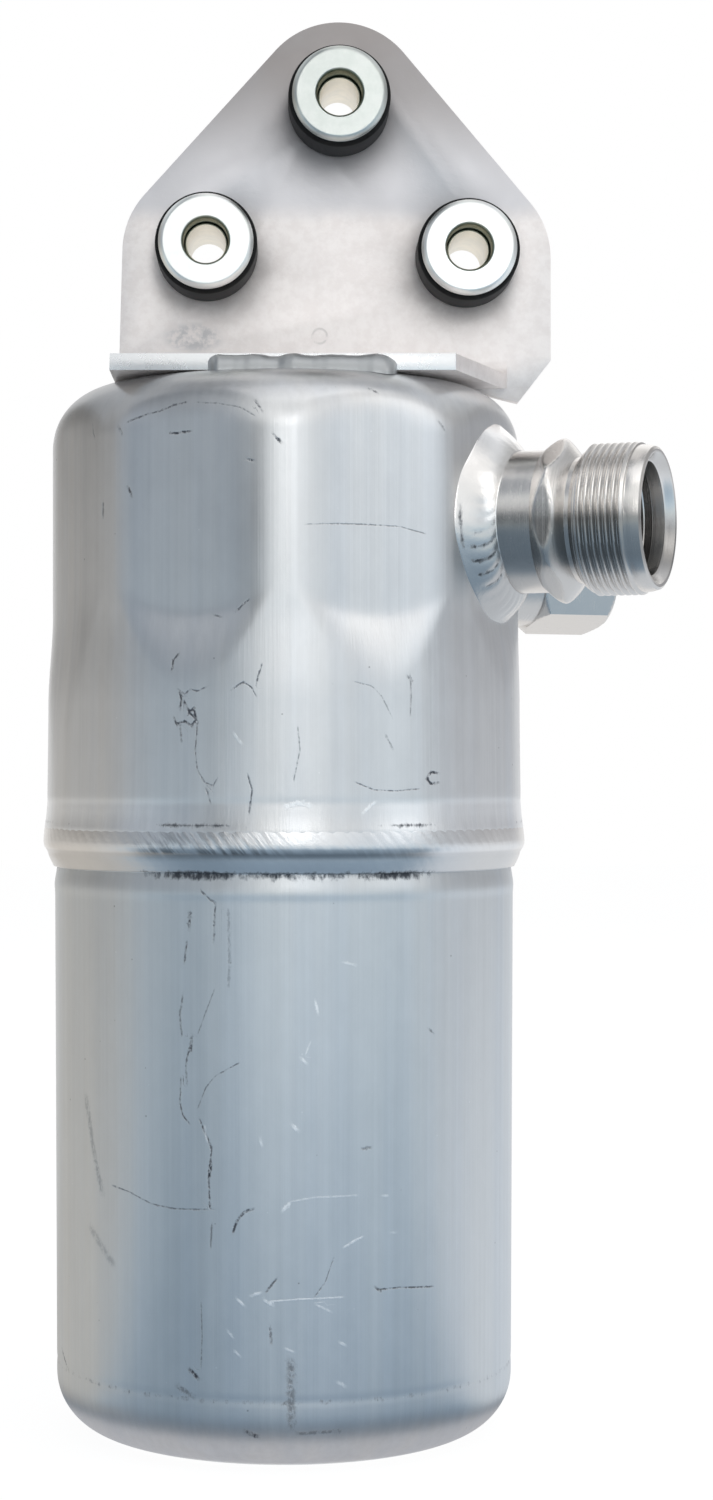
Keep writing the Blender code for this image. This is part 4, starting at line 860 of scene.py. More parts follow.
def mounting_bracket():
    left = (BUSHINGS["left"].x, BUSHINGS["left"].z)
    top = (BUSHINGS["top"].x, BUSHINGS["top"].z)
    right = (BUSHINGS["right"].x, BUSHINGS["right"].z)
    rise = math.degrees(math.atan2(top[1] - left[1], top[0] - left[0]))
    fall = math.degrees(math.atan2(top[1] - right[1], right[0] - top[0]))
    right_side = right[0] + LOBE_RADIUS
    margin = 0.001
    foot_top = FOOT_BOTTOM + SHEET
    bend = (PLATE_FRONT_Y - BEND_INSIDE, foot_top + BEND_INSIDE)
    above = top[1] + LOBE_RADIUS + margin
    side = [(FOOT_FRONT_Y, FOOT_BOTTOM), *arc(bend, BEND_INSIDE + SHEET, -90, 0, 12),
            (PLATE_FRONT_Y + SHEET, above), (PLATE_FRONT_Y, above),
            *arc(bend, BEND_INSIDE, 0, -90, 10), (FOOT_FRONT_Y, foot_top)]
    bracket = prism("mounting_bracket_sheet", side, left[0] - LOBE_RADIUS - margin,
                    right_side + margin, ALONG_X)
    corner_left = FOOT_CUT_RIGHT_X - CORNER_REACH
    corner_foot = FOOT_BOTTOM - CORNER_BELOW_FOOT
    hanging = [(corner_left, FOOT_BOTTOM), (right_side - CORNER_CHAMFER, corner_foot),
               (right_side + margin, corner_foot - margin), (right_side + margin, bend[1] + margin),
               (corner_left, bend[1] + margin)]
    tab = prism("hanging_corner", hanging, -PLATE_FRONT_Y - SHEET, -PLATE_FRONT_Y, FRONT_UP)
    combine(bracket, tab, "UNION", "EXACT")
    outline = [(left[0] - LOBE_RADIUS - LEFT_FLARE, corner_foot),
               *arc(left, LOBE_RADIUS, 180, 90 + rise, 12),
               *arc(top, LOBE_RADIUS, 90 + rise, 90 - fall, 28),
               *arc(right, LOBE_RADIUS, 90 - fall, 0, 12),
               (right_side, FOOT_BOTTOM + CORNER_ABOVE_FOOT),
               (right_side - CORNER_CHAMFER, corner_foot)]
    blank = prism("blank", outline, -PLATE_FRONT_Y - SHEET - margin, -FOOT_FRONT_Y + margin,
                  FRONT_UP)
    combine(bracket, blank, "INTERSECT", "EXACT")
    corner = [(FOOT_RIGHT_X, FOOT_FRONT_Y), (FOOT_RIGHT_X, FOOT_FRONT_Y - margin),
              (right_side + margin, FOOT_FRONT_Y - margin), (right_side + margin, PLATE_FRONT_Y),
              (FOOT_CUT_RIGHT_X, PLATE_FRONT_Y)]
    cut = prism("corner", corner, FOOT_BOTTOM - margin, bend[1] + margin)
    combine(bracket, cut, "DIFFERENCE", "EXACT")
    for centre in BUSHINGS.values():
        place = Matrix.Translation((centre.x, 0, centre.z)) @ FRONT_UP
        hole = turned("hole", [(0, 0.01), (0.0075, 0.01), (0.0075, -0.01), (0, -0.01)], 48,
                      place, closed=False)
        combine(bracket, hole, "DIFFERENCE", "EXACT")
    soften_edges(bracket, 0.00035)
    return smooth(bracket, 40)


def top_skin(x, y):
    """The height of the can's top and shoulder over a point."""
    beyond = np.clip(np.hypot(x, y) - (BODY_RADIUS - SHOULDER_RADIUS), 0, SHOULDER_RADIUS - 1e-5)
    return CAN_HEIGHT - SHOULDER_RADIUS + np.sqrt(SHOULDER_RADIUS ** 2 - beyond ** 2)


def bracket_bead(name, low_x, high_x, edge_y, direction, width, height):
    """A fillet bead along X against the sheet's edge, with scalloped ripples."""
    count = 150
    steps = 14
    rings = []
    for x in np.linspace(low_x, high_x, count):
        end = min((x - low_x), (high_x - x)) / 0.0022
        fade = math.sqrt(max(0.02, min(1, end) * (2 - min(1, end))))
        wave = 1 + 0.06 * math.sin(x * 860 + 0.7 * math.sin(x * 310)) + 0.04 * math.sin(x * 530)
        ring = []
        for step in range(steps + 1):
            angle = math.pi / 2 * step / steps
            crest = 1 + 0.006 * math.sin(x * 3100 + 2.2 * math.sin(angle))
            out = width * fade * wave * crest * math.sin(angle)
            y = edge_y + direction * out
            up = height * (0.55 + 0.45 * fade) * wave * crest * math.cos(angle)
            ring.append((x, y, float(top_skin(x, y)) - 0.0001 + up))
        back = edge_y - direction * 0.0008
        floor = float(top_skin(x, back)) - 0.0005
        ring.append((x, back, floor))
        ring.append((x, back, ring[0][2] - 0.0004))
        rings.append(ring)
    return smooth(skin(name, rings), 50)


# Bushings

def bushing_pieces(side):
    """The rubber bush and its two flanged sleeves, turned about the bolt's axis."""
    centre = BUSHINGS[side]
    place = Matrix.Translation((centre.x, 0, centre.z)) @ FRONT_UP
    face = -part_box(f"front_sleeve_{side}")[0].y
    back = -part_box(f"rear_sleeve_{side}")[1].y
    flange, thick, hole, wall = 0.0089, 0.0018, 0.00420, 0.0009
    front_profile = [
        (hole, face - 0.0006), (hole + 0.00030, face - 0.00012), (hole + 0.00044, face),
        (hole + 0.00058, face), (flange - 0.00100, face),
        (flange - 0.00085, face), (flange - 0.00072, face - 0.00006),
        (flange - 0.00006, face - 0.00072), (flange, face - 0.00085),
        (flange, face - thick + 0.0002), (flange - 0.0002, face - thick),
        (hole + wall, face - thick), (hole + wall, face - 0.016), (hole, face - 0.016),
    ]
    near = face - 0.0044
    bore, tube = 0.0035, hole - 0.0003
    rear_profile = [
        (bore, near - 0.0050), (tube - 0.00025, near), (tube - 0.0002, near),
        (tube, near - 0.0002), (tube, back + thick), (flange - 0.0002, back + thick),
        (flange, back + thick - 0.0002), (flange, back + 0.0004), (flange - 0.0004, back),
        (bore + 0.0003, back), (bore, back + 0.0003),
    ]
    rubber_low, rubber_high = (-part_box(f"grommet_{side}")[1].y, -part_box(f"grommet_{side}")[0].y)
    radius, groove = 0.0096, 0.0072
    front, rear = -PLATE_FRONT_Y + 0.0001, -PLATE_FRONT_Y - SHEET - 0.0001
    bush_profile = [
        (0.00585, rubber_high + 0.0002), (radius - 0.0010, rubber_high + 0.0002),
        *arc((radius - 0.0010, rubber_high - 0.0010), 0.0010, 80, 0, 5),
        (radius, (rubber_high + front) / 2), (radius, front + 0.0010),
        *arc((radius - 0.0008, front + 0.0008), 0.0008, 0, -90, 4),
        (groove, front), (groove, rear),
        *arc((radius - 0.0008, rear - 0.0008), 0.0008, 90, 0, 4),
        *arc((radius - 0.0010, rubber_low + 0.0010), 0.0010, 0, -80, 5),
        (0.00585, rubber_low - 0.0002),
    ]
    return {
        "front_sleeve": smooth(turned(f"front_sleeve_{side}_turned", front_profile, 96, place)),
        "rear_sleeve": smooth(turned(f"rear_sleeve_{side}_turned", rear_profile, 96, place)),
        "grommet": smooth(turned(f"grommet_{side}_moulded", bush_profile, 96, place)),
    }


# Finishes

def fine_marks(f, name):
    """The thin line of each mark, from the side and the strength painted on the skin."""
    side = (f.attribute(f"{name}_side") - 0.5) * MARK_SIDE_SCALE
    ragged = 1.8 - 1.9 * f.noise(f.position(), 1700, 3, 0.6)
    return (1 - (side.size() * ragged).step(0.45, 1.45)) * f.attribute(name)


def soot_and_shade_share(f, place):
    """Ragged soot and painted shade: the painted layer, broken into upright wisps."""
    wisps = f.noise(f.scaled(place, 820, 820, 430), 1, 4, 0.75)
    return (f.attribute("soot_and_shade") + (wisps - 0.5) * 1.8 - 0.45).step(-0.12, 0.55)


def grey(f, shade):
    return f.node("ShaderNodeCombineColor", {}, [shade, shade, shade])


def drawn_aluminium(name, tone=(0.79, 0.80, 0.815), rough=0.30):
    """Drawn can: fine upright draw lines, cloudy handling marks, scratches and weld soot, with
    painted shade on the shoulder and top and a painted highlight on the wall just over the weld at
    the sides.
    """
    f = Finish(name)
    place = f.position()
    fine = f.noise(f.scaled(place, 2600, 2600, 14), 1, 2, 0.6)
    lines = f.noise(f.scaled(place, 620, 620, 6), 1, 3, 0.65)
    bands = f.noise(f.scaled(place, 150, 150, 3), 1, 2, 0.5)
    cloud = f.noise(f.scaled(place, 46, 46, 22), 1, 5, 0.65)
    mottle = f.noise(f.scaled(place, 240, 240, 150), 1, 4, 0.7)
    grime = f.noise(f.scaled(place, 1500, 1500, 1100), 1, 3, 0.7)
    shade = 0.735 + 0.19 * lines + 0.15 * bands + 0.12 * (cloud - 0.5) + 0.10 * (mottle - 0.5)
    x, y, z = f.parts(place)
    # Painted shade: the shoulder and top are darker, most on the left.
    shoulder = z.step(CAN_HEIGHT - 0.0100, CAN_HEIGHT - 0.0055)
    # Painted highlight: the wall just over the weld is lighter at the sides.
    hem_painted_highlight = (1 - z.step(GIRTH_TOP + 0.0036, GIRTH_TOP + 0.0052)) * z.step(GIRTH_FOOT, GIRTH_TOP)
    shade = shade * (1 - shoulder * (0.37 - 0.27 * x.step(-0.034, 0.012)))
    shade = shade * (1 + 0.28 * hem_painted_highlight * x.size().step(0.012, 0.026))
    light = f.mix(bands.step(0.35, 0.65), tone,
                  tuple(part * warm for part, warm in zip(tone, (1.0, 0.985, 0.965))))
    colour = f.mix(1.0, light, grey(f, shade), "MULTIPLY")
    pit_distance = f.node("ShaderNodeTexVoronoi", {}, {"Vector": place, "Scale": 330.0}, "Distance")
    pit_kind = f.parts(f.node(
        "ShaderNodeTexVoronoi", {}, {"Vector": place, "Scale": 330.0}, "Color"))[0]
    pits = (1 - pit_distance.step(0.035, 0.075)) * pit_kind.step(0.80, 0.86)
    glints = (1 - pit_distance.step(0.035, 0.07)) * (1 - pit_kind.step(0.10, 0.15))
    scratch = fine_marks(f, "scratch") * (0.24 + 0.95 * grime.step(0.38, 0.58))
    nick = fine_marks(f, "nick") * (0.45 + 0.6 * grime.step(0.36, 0.56))
    soot_and_shade_mask = soot_and_shade_share(f, place)
    colour = f.mix((scratch * 0.92).clamp(), colour, (0.10, 0.105, 0.12))
    colour = f.mix(pits * 0.50, colour, (0.14, 0.13, 0.13))
    colour = f.mix(soot_and_shade_mask * 0.86, colour, (0.045, 0.05, 0.065))
    colour = f.mix((nick * 1.1).clamp(), colour, (0.97, 0.97, 0.97))
    colour = f.mix(glints * 0.35, colour, (0.95, 0.95, 0.95))
    roughness = rough - 0.05 + 0.07 * lines + 0.06 * cloud + 0.05 * mottle
    roughness = roughness + 0.25 * scratch + 0.35 * soot_and_shade_mask + 0.15 * nick
    height = 0.5 * fine + 0.5 * lines + 0.5 * mottle - 1.2 * scratch + 0.6 * nick
    f.set(metallic=1.0, base_color=colour, roughness=roughness)
    f.bump(height, 0.000035)
    return f.owner


def weld_aluminium(name, tone=(0.84, 0.84, 0.84), rough=0.24, painted_shade_tone=None, level=0.0):
    """Weld metal with soot and painted shade; below the level it may have a darker tone, painted
    shade on the lower side.
    """
    f = Finish(name)
    place = f.position()
    if painted_shade_tone:
        tone = f.mix(f.parts(place)[2].step(level - 0.005, level + 0.005), painted_shade_tone, tone)
    grain = f.noise(place, 1500, 3, 0.6)
    patch = f.noise(place, 160, 3, 0.6)
    soot_and_shade_mask = soot_and_shade_share(f, place)
    colour = f.mix(1.0, tone, grey(f, 0.84 + 0.16 * patch), "MULTIPLY")
    colour = f.mix(soot_and_shade_mask * 0.9, colour, (0.04, 0.045, 0.055))
    f.set(metallic=1.0, base_color=colour, roughness=rough + 0.12 * patch + 0.3 * soot_and_shade_mask)
    f.bump(grain, 0.00004, 0.6)
    return f.owner


def girth_weld_aluminium(name):
    """The bead round the can: slanting freeze lines on a bright crown, painted shade on the band
    below it and in the crease between, and a warmer painted reflection at the sides.
    """
    f = Finish(name)
    place = f.position()
    x, y, z = f.parts(place)
    around = f.node("ShaderNodeMath", {"operation": "ARCTAN2"}, [x, 0 - y]) * BODY_RADIUS
    slant = f.node("ShaderNodeCombineXYZ", {}, [(around + 0.8 * z) * 1100, z * 260, 0.0])
    strokes = f.noise(slant, 1, 2, 0.5)
    grain = f.noise(place, 1500, 3, 0.6)
    patch = f.noise(place, 150, 3, 0.6)
    crown = z.step(GIRTH_TOP - 0.0052, GIRTH_TOP - 0.0046)
    ends = around.size().step(0.030, 0.044)
    fresh = around.step(-0.031, -0.022) * (1 - 0.88 * around.step(-0.009, 0.004))
    soot_and_shade_mask = soot_and_shade_share(f, place)
    # Painted shade in the crease under the crown, at the front, broken by the strokes.
    crease = z.step(GIRTH_TOP - 0.0066, GIRTH_TOP - 0.0049) * (
        1 - z.step(GIRTH_TOP - 0.0047, GIRTH_TOP - 0.0034))
    crease = crease * (1 - around.size().step(0.024, 0.031)) * (0.6 + 0.8 * strokes).clamp()
    # Painted shade: under the crown the colour is darker.
    shade = (0.82 + 0.18 * crown) * (0.86 + 0.14 * patch) - (
        0.26 * strokes.step(0.44, 0.60) * fresh * crown)
    shade = shade - 0.38 * crease
    # Painted reflection: a warmer tone at the sides.
    tone = f.mix(ends, (0.87, 0.87, 0.875), (0.92, 0.89, 0.86))
    colour = f.mix(1.0, tone, grey(f, shade), "MULTIPLY")
    colour = f.mix(soot_and_shade_mask * 0.9, colour, (0.04, 0.045, 0.055))
    f.set(metallic=1.0, base_color=colour, roughness=0.25 + 0.10 * patch + 0.3 * soot_and_shade_mask)
    f.bump(strokes * fresh * crown + 0.2 * grain, 0.00016, 0.8)
    return f.owner


def machined_aluminium(name, place_matrix, highlight_over_axis=0.0, shade_under_axis=0.0):
    """Turned aluminium: fine rings about the port's axis and a few dull patches. It may have a
    painted highlight over its axis and painted shade below it."""
    f = Finish(name)
    place = f.position()
    inverse = place_matrix.inverted()
    axis = tuple(inverse[2][:3])
    along = f.node("ShaderNodeVectorMath", {"operation": "DOT_PRODUCT"}, [place, axis], "Value")
    rings = f.node("ShaderNodeTexNoise", {"noise_dimensions": "1D"},
                   {"W": along * 9000, "Scale": 1.0, "Detail": 2.0})
    patch = f.noise(place, 300, 3, 0.6)
    shade = 0.86 + 0.10 * rings + 0.06 * patch
    rise = f.parts(place)[2] - place_matrix.translation.z
    # Painted highlight in a band over the axis, painted shade in a band below it.
    over = rise.step(0.0005, 0.0035) * (1 - rise.step(0.0070, 0.0105))
    under = rise.step(-0.0110, -0.0070) * (1 - rise.step(-0.0012, 0.0012))
    shade = shade * (1 + highlight_over_axis * over - shade_under_axis * under)
    colour = f.mix(1.0, (0.66, 0.635, 0.61), grey(f, shade), "MULTIPLY")
    f.set(metallic=1.0, base_color=colour, roughness=0.17 + 0.10 * patch + 0.06 * rings)
    f.bump(rings, 0.00002, 0.7)
    return f.owner


def bracket_aluminium(name):
    """Rolled sheet: cloudy satin, warmer and mottled low down, painted shade darkening it towards
    the top, a painted highlight on the foot's cut front edge and a small punch ring.
    """
    f = Finish(name)
    place = f.position()
    x, y, z = f.parts(place)
    grain = f.noise(f.scaled(place, 700, 700, 1500), 1, 3, 0.6)
    mottle = f.noise(place, 420, 4, 0.7)
    cloud = f.noise(place, 55, 3, 0.6)
    level = (z + 0.004 * (cloud - 0.5)).step(0.2280, 0.2330)
    warm = f.mix(mottle.step(0.35, 0.65), (0.87, 0.815, 0.79), (0.94, 0.89, 0.865))
    # Painted shade: the sheet's colour darkens towards the top.
    upper = f.mix(z.step(0.2330, 0.2600), (0.73, 0.715, 0.73), (0.375, 0.345, 0.335))
    upper = f.mix(0.30 * cloud.step(0.35, 0.7), upper, (0.52, 0.51, 0.52))
    colour = f.mix(level, warm, upper)
    # Painted highlight: the foot's cut front edge is near white, and smoother.
    cut_edge_highlight = 1 - y.step(FOOT_FRONT_Y + 0.00020, FOOT_FRONT_Y + 0.00045)
    colour = f.mix(cut_edge_highlight, colour, (0.97, 0.97, 0.97))
    across = x - 0.0067
    rise = z - 0.2071
    radius = (across * across + rise * rise) ** 0.5
    ring = radius.step(0.00105, 0.00135) * (1 - radius.step(0.00145, 0.00175)) * (
        1 - y.step(-0.0012, -0.0006))
    ring = ring * mottle.step(0.40, 0.55)
    colour = f.mix(ring * 0.40, colour, (0.35, 0.33, 0.32))
    smudge_x = (x + 0.0172) * 150
    smudge_z = (z - 0.2068) * 300
    smudge = (1 - (smudge_x * smudge_x + smudge_z * smudge_z)).step(0.0, 0.9) * (
        mottle.step(0.35, 0.6))
    colour = f.mix(smudge * 0.60, colour, (0.36, 0.37, 0.39))
    roughness = 0.33 + 0.10 * cloud + 0.08 * mottle - 0.15 * cut_edge_highlight
    f.set(metallic=0.62, base_color=colour, roughness=roughness)
    f.bump(0.5 * grain + mottle - 1.5 * ring, 0.00005, 0.7)
    return f.owner


def zinc_steel(name, centre, light=(0.88, 0.89, 0.87), dull=(0.80, 0.83, 0.80)):
    """Plated steel: pale faces, and a darker greenish chamfer round the bolt's hole."""
    f = Finish(name)
    place = f.position()
    x, y, z = f.parts(place)
    across, rise = x - centre.x, z - centre.z
    radius = (across * across + rise * rise) ** 0.5
    chamfer = radius.step(0.0040, 0.0042) * (1 - radius.step(0.00444, 0.00466))
    patch = f.noise(place, 260, 3, 0.6)
    fine = f.noise(place, 2200, 2, 0.6)
    colour = f.mix(patch.step(0.3, 0.7), dull, light)
    colour = f.mix(chamfer * 0.75, colour, (0.26, 0.31, 0.25))
    f.set(metallic=1.0, base_color=colour, roughness=0.28 + 0.12 * patch)
    f.bump(fine, 0.00002, 0.5)
    return f.owner


def plain_finish(name, tone, second, rough, scale, bump_depth, metallic=0.0, specular=0.5):
    """A mottled finish for rubber, nylon, mesh, felt and the inner tube."""
    f = Finish(name)
    place = f.position()
    patch = f.noise(place, scale, 4, 0.6)
    colour = f.mix(patch.step(0.3, 0.7), tone, second)
    f.set(metallic=metallic, base_color=colour, roughness=rough + 0.1 * patch)
    f.shader.inputs["Specular IOR Level"].default_value = specular
    f.bump(patch, bump_depth)
    return f.owner


def dress(piece, material, slot, *nodes):
    """Give a piece its finish and its place in the frame, and hide the CAD nodes that it stands
    for.
    """
    piece.data.materials.clear()
    piece.data.materials.append(material)
    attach(piece, "root")
    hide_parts(*nodes)
    return piece


# Build the outer pieces

def bearings(piece):
    """A skin's points, and the azimuth of each in degrees from the front."""
    points = coordinates(piece)
    return points, np.degrees(np.arctan2(points[:, 0], -points[:, 1]))


def above_weld(bearing):
    """Where soot lies along the bead's upper edge: two dashes at the front, wisps behind."""
    behind = 0.45 * np.abs(np.sin(np.radians(bearing) * 3.3)) * (np.abs(bearing) > 70)
    return 0.85 * span(bearing, -30, -12, 4) + 0.80 * span(bearing, 22, 36, 4) + behind


def below_weld(bearing):
    """Where soot lies along the bead's lower edge: thick at the sides of the front."""
    behind = 0.55 * np.abs(np.sin(np.radians(bearing) * 2.7)) * (np.abs(bearing) > 60)
    front = 0.62 * span(bearing, -36, 40, 5)
    thick = 0.92 * span(bearing, -29, -12, 5) + 0.86 * span(bearing, 19, 35, 6)
    return np.maximum(front, thick) + behind


upper = upper_shell()
points, bearing = bearings(upper)
outer_wall = np.hypot(points[:, 0], points[:, 1]) > BODY_RADIUS - 0.0035
paint_marks(upper, points, BODY_RADIUS)
paint(upper, "soot_and_shade",
      bell(points[:, 2], GIRTH_TOP + 0.0001, 0.00050) * above_weld(bearing) * outer_wall)
dress(upper, drawn_aluminium("drawn_aluminium_upper"), "drawn_aluminium", "upper_shell")

lower = lower_shell()
points, bearing = bearings(lower)
paint_marks(lower, points, LOWER_RADIUS)
foot_soot = smooth_step(points[:, 2], GIRTH_FOOT - 0.0021, GIRTH_FOOT - 0.0002)
# A dark line painted along the ring above the base corner, in the same layer as the weld soot.
base_ring = 0.42 * bell(points[:, 2], 0.0132, 0.0006) * (
    np.hypot(points[:, 0], points[:, 1]) > 0.04)
paint(lower, "soot_and_shade", foot_soot * below_weld(bearing) + base_ring)
drawn_lower = drawn_aluminium("drawn_aluminium_lower", (0.74, 0.765, 0.785), 0.36)
dress(lower, drawn_lower, "drawn_aluminium", "lower_shell")

bead = girth_weld()
points, bearing = bearings(bead)
foot = bell(points[:, 2], GIRTH_FOOT, 0.0007) * below_weld(bearing)
head = bell(points[:, 2], GIRTH_TOP, 0.00035) * above_weld(bearing)
paint(bead, "soot_and_shade", np.maximum(foot, head))
dress(bead, girth_weld_aluminium("girth_weld_aluminium"), "weld_aluminium", "girth_weld")
bracket_metal = weld_aluminium("bracket_weld_aluminium", (0.46, 0.47, 0.475), 0.34)

outlet_bead = port_weld("outlet_weld_bead", OUTLET, OUTLET_AZIMUTH, OUTLET_HEIGHT, OUTLET_NECK,
                        OUTLET_BEAD_SPREAD, 1.0, 0.0476, OUTLET_BEAD_PITCH)
inlet_bead = port_weld("inlet_weld_bead", INLET, INLET_AZIMUTH, INLET_HEIGHT, 0.0096, 0.0048,
                       1.0, 0.0466, 0.0023)
# The port welds' colour is darker below a level just under the outlet's axis: painted shade on
# their lower side.
port_metal = weld_aluminium("port_weld_aluminium", (0.94, 0.92, 0.90), 0.18,
                            (0.57, 0.56, 0.55), OUTLET_HEIGHT - 0.003)
for weld, node, place in ((outlet_bead, "outlet_weld", OUTLET), (inlet_bead, "inlet_weld", INLET)):
    distance, angle = round_port(weld, place)
    # On the outlet weld, dark is painted along its toe on the lower side and into the furrows
    # between its ripples there.
    toe_line = 0.80 * bell(distance, 0.0176, 0.00028) * span(angle, 2.98, 3.50, 0.08)
    phase = stacked_ripples(angle, distance, OUTLET_NECK, OUTLET_BEAD_SPREAD, OUTLET_BEAD_PITCH)
    furrows = 1.05 * (1 - np.abs(np.sin(math.pi * phase))) ** 1.3 * (
        bell(angle, 1.17 * math.pi, 0.42))
    furrows = furrows * span(distance, 0.0137, 0.0172, 0.0004)
    paint(weld, "soot_and_shade", np.maximum(toe_line, furrows) * (node == "outlet_weld"))
    dress(weld, port_metal, "weld_aluminium", node)

# The outlet gets a painted highlight over its axis and painted shade below it.
dress(outlet_fitting(), machined_aluminium("machined_outlet", OUTLET, 0.34, 0.42),
      "machined_aluminium", "outlet_fitting")
dress(inlet_fitting(), machined_aluminium("machined_inlet", INLET), "machined_aluminium",
      "inlet_fitting")

dress(mounting_bracket(), bracket_aluminium("bracket_aluminium"), "bracket_aluminium",
      "mounting_bracket")
front_low, front_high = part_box("bracket_weld_front")
front_bead = bracket_bead("bracket_weld_front_bead", front_low.x, front_high.x,
                          FOOT_FRONT_Y, -1, 0.0032, 0.0031)
rear_low, rear_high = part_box("bracket_weld_rear")
rear_bead = bracket_bead("bracket_weld_rear_bead", rear_low.x, rear_high.x,
                         PLATE_FRONT_Y + SHEET - 0.0012, 1, 0.0046, 0.0042)
for weld, node in ((front_bead, "bracket_weld_front"), (rear_bead, "bracket_weld_rear")):
    # Painted shade: the bead is darker along its top, where it meets the sheet.
    top_line = coordinates(weld)[:, 2] - FOOT_BOTTOM
    paint(weld, "soot_and_shade", 0.62 * smooth_step(top_line, 0.0024, 0.0029))
    dress(weld, bracket_metal, "weld_aluminium", node)

rubber = plain_finish("black_rubber", (0.007, 0.007, 0.007), (0.013, 0.013, 0.013), 0.50, 900,
                      0.00003, specular=0.14)
for side in BUSHINGS:
    made = bushing_pieces(side)
    centre = BUSHINGS[side]
    # The top sleeve's front gets a darker copy of the plated finish: painted shade.
    if side == "top":
        front_steel = zinc_steel("zinc_steel_top", centre, (0.66, 0.68, 0.65), (0.56, 0.59, 0.56))
    else:
        front_steel = zinc_steel(f"zinc_steel_{side}", centre, (0.94, 0.94, 0.92),
                                 (0.86, 0.88, 0.85))
    rear_steel = zinc_steel(f"zinc_rear_steel_{side}", centre, (0.86, 0.80, 0.68),
                            (0.74, 0.70, 0.60))
    dress(made["front_sleeve"], front_steel, "zinc_steel", f"front_sleeve_{side}")
    dress(made["rear_sleeve"], rear_steel, "zinc_steel", f"rear_sleeve_{side}")
    dress(made["grommet"], rubber, "black_rubber", f"grommet_{side}")

# Finishes of the inner pieces, which keep their CAD form
tube_metal = plain_finish("tube_aluminium", (0.70, 0.70, 0.71), (0.80, 0.80, 0.80), 0.25, 300,
                          0.00002, 1.0)
nylon = plain_finish("white_nylon", (0.78, 0.75, 0.66), (0.84, 0.82, 0.74), 0.42, 240, 0.00003)
mesh_cloth = plain_finish("filter_mesh", (0.42, 0.42, 0.40), (0.62, 0.62, 0.58), 0.7, 2400, 0.00008)
felt = plain_finish("bag_felt", (0.80, 0.79, 0.75), (0.90, 0.89, 0.86), 0.9, 1400, 0.00020)
INNER = {
    "suction_tube": tube_metal, "deflector": nylon, "oil_filter_cage": nylon,
    "oil_filter_screen": mesh_cloth, "desiccant_bag_front": felt, "desiccant_bag_rear": felt,
    "bag_strap_lower": nylon, "bag_strap_upper": nylon,
}
for node, material in INNER.items():
    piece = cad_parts[node]
    piece.data.materials.clear()
    piece.data.materials.append(material)


# Studio: a white floor and world, and soft cards that the satin metal mirrors

# Cards of the dome round the part: the colour, the span in azimuth from the camera's side
# towards +X, and the span in elevation, in degrees, each span with its softness
DOME_WALL = (0.272, 0.262, 0.248)
DOME_CARDS = {
    "ceiling": ((0.78, 0.81, 0.85), (-200, 200, 5), (32, 100, 16)),
    "zenith": ((0.33, 0.35, 0.38), (-200, 200, 5), (58, 110, 9)),
    "right wall": ((0.43, 0.44, 0.465), (78, 200, 10), (-10, 22, 8)),
    "dusk high on the left": ((0.28, 0.31, 0.35), (-84, -14, 9), (6, 66, 6)),
    "dim bay on the left": ((0.47, 0.51, 0.57), (-80, -16, 9), (6, 40, 7)),
    "dark bay under it": ((0.19, 0.23, 0.28), (-74, -16, 9), (-10, 14, 4)),
    "pane high on the left": ((0.45, 0.49, 0.54), (-72, -24, 9), (20, 38, 5)),
    "pale screen on the right": ((0.60, 0.66, 0.72), (12, 72, 10), (-10, 18, 4)),
    "bright screen over it": ((1.00, 1.00, 1.00), (0, 78, 12), (18, 60, 8)),
    "skirting": ((0.66, 0.76, 0.84), (-75, 76, 10), (-10, 0.8, 2)),
    "left skirting": ((0.58, 0.57, 0.55), (-200, -78, 10), (-10, 3.6, 3)),
    "window on the right": ((0.86, 0.90, 0.94), (12, 46, 8), (-1.5, 3.0, 1.5)),
    "right skirting": ((0.62, 0.64, 0.67), (78, 200, 10), (-10, 1.5, 2)),
    "bright bay ahead": ((0.97, 0.99, 1.00), (-30, 31, 9), (2.0, 60, 3)),
}

# Cards of the table top, with the span in distance from the part in metres
TABLE_TOP = (0.64, 0.62, 0.585)
TABLE_CARDS = {
    "right of the part": ((0.81, 0.86, 0.92), (72, 200, 5), (0, 9, 0.1)),
    "before the part": ((0.92, 1.00, 1.00), (-75, 72, 7), (0, 9, 0.1)),
    "a step nearer": ((0.50, 0.64, 0.77), (-75, 72, 7), (-1, 1.1, 0.7)),
    "near": ((0.335, 0.445, 0.56), (-71, 72, 8), (-1, 0.40, 0.22)),
    "nearest": ((0.25, 0.345, 0.45), (-62, 70, 9), (-1, 0.12, 0.09)),
    "left leg's shade": ((0.235, 0.32, 0.41), (-60, -26, 8), (-1, 1.0, 0.7)),
    "left foot": ((0.40, 0.39, 0.38), (-200, -52, 12), (-1, 0.062, 0.012)),
    "foot of the part": ((0.16, 0.20, 0.25), (-52, 60, 14), (-1, 0.060, 0.012)),
    "close under the corner": ((0.25, 0.28, 0.32), (-200, 200, 5), (-1, 0.0515, 0.0035)),
    "under the part": ((0.60, 0.595, 0.62), (-200, 200, 5), (-1, 0.0458, 0.0025)),
}
# The flag before the outlet port: where it stands, from the port, and its two tones
FLAG_AZIMUTH = -39.5
FLAG_REACH = 0.20
FLAG_HALF_WIDTH = 0.020
FLAG_FOOT = -7
FLAG_WHITE_FROM = 12
FLAG_HEAD = 37
FLAG_BLACK = (0.060, 0.066, 0.072)
FLAG_WHITE = (0.92, 0.93, 0.92)

DOME_RADIUS = 2.6
DOME_OPEN_AZIMUTH = 150
DOME_CENTRE_HEIGHT = 0.13


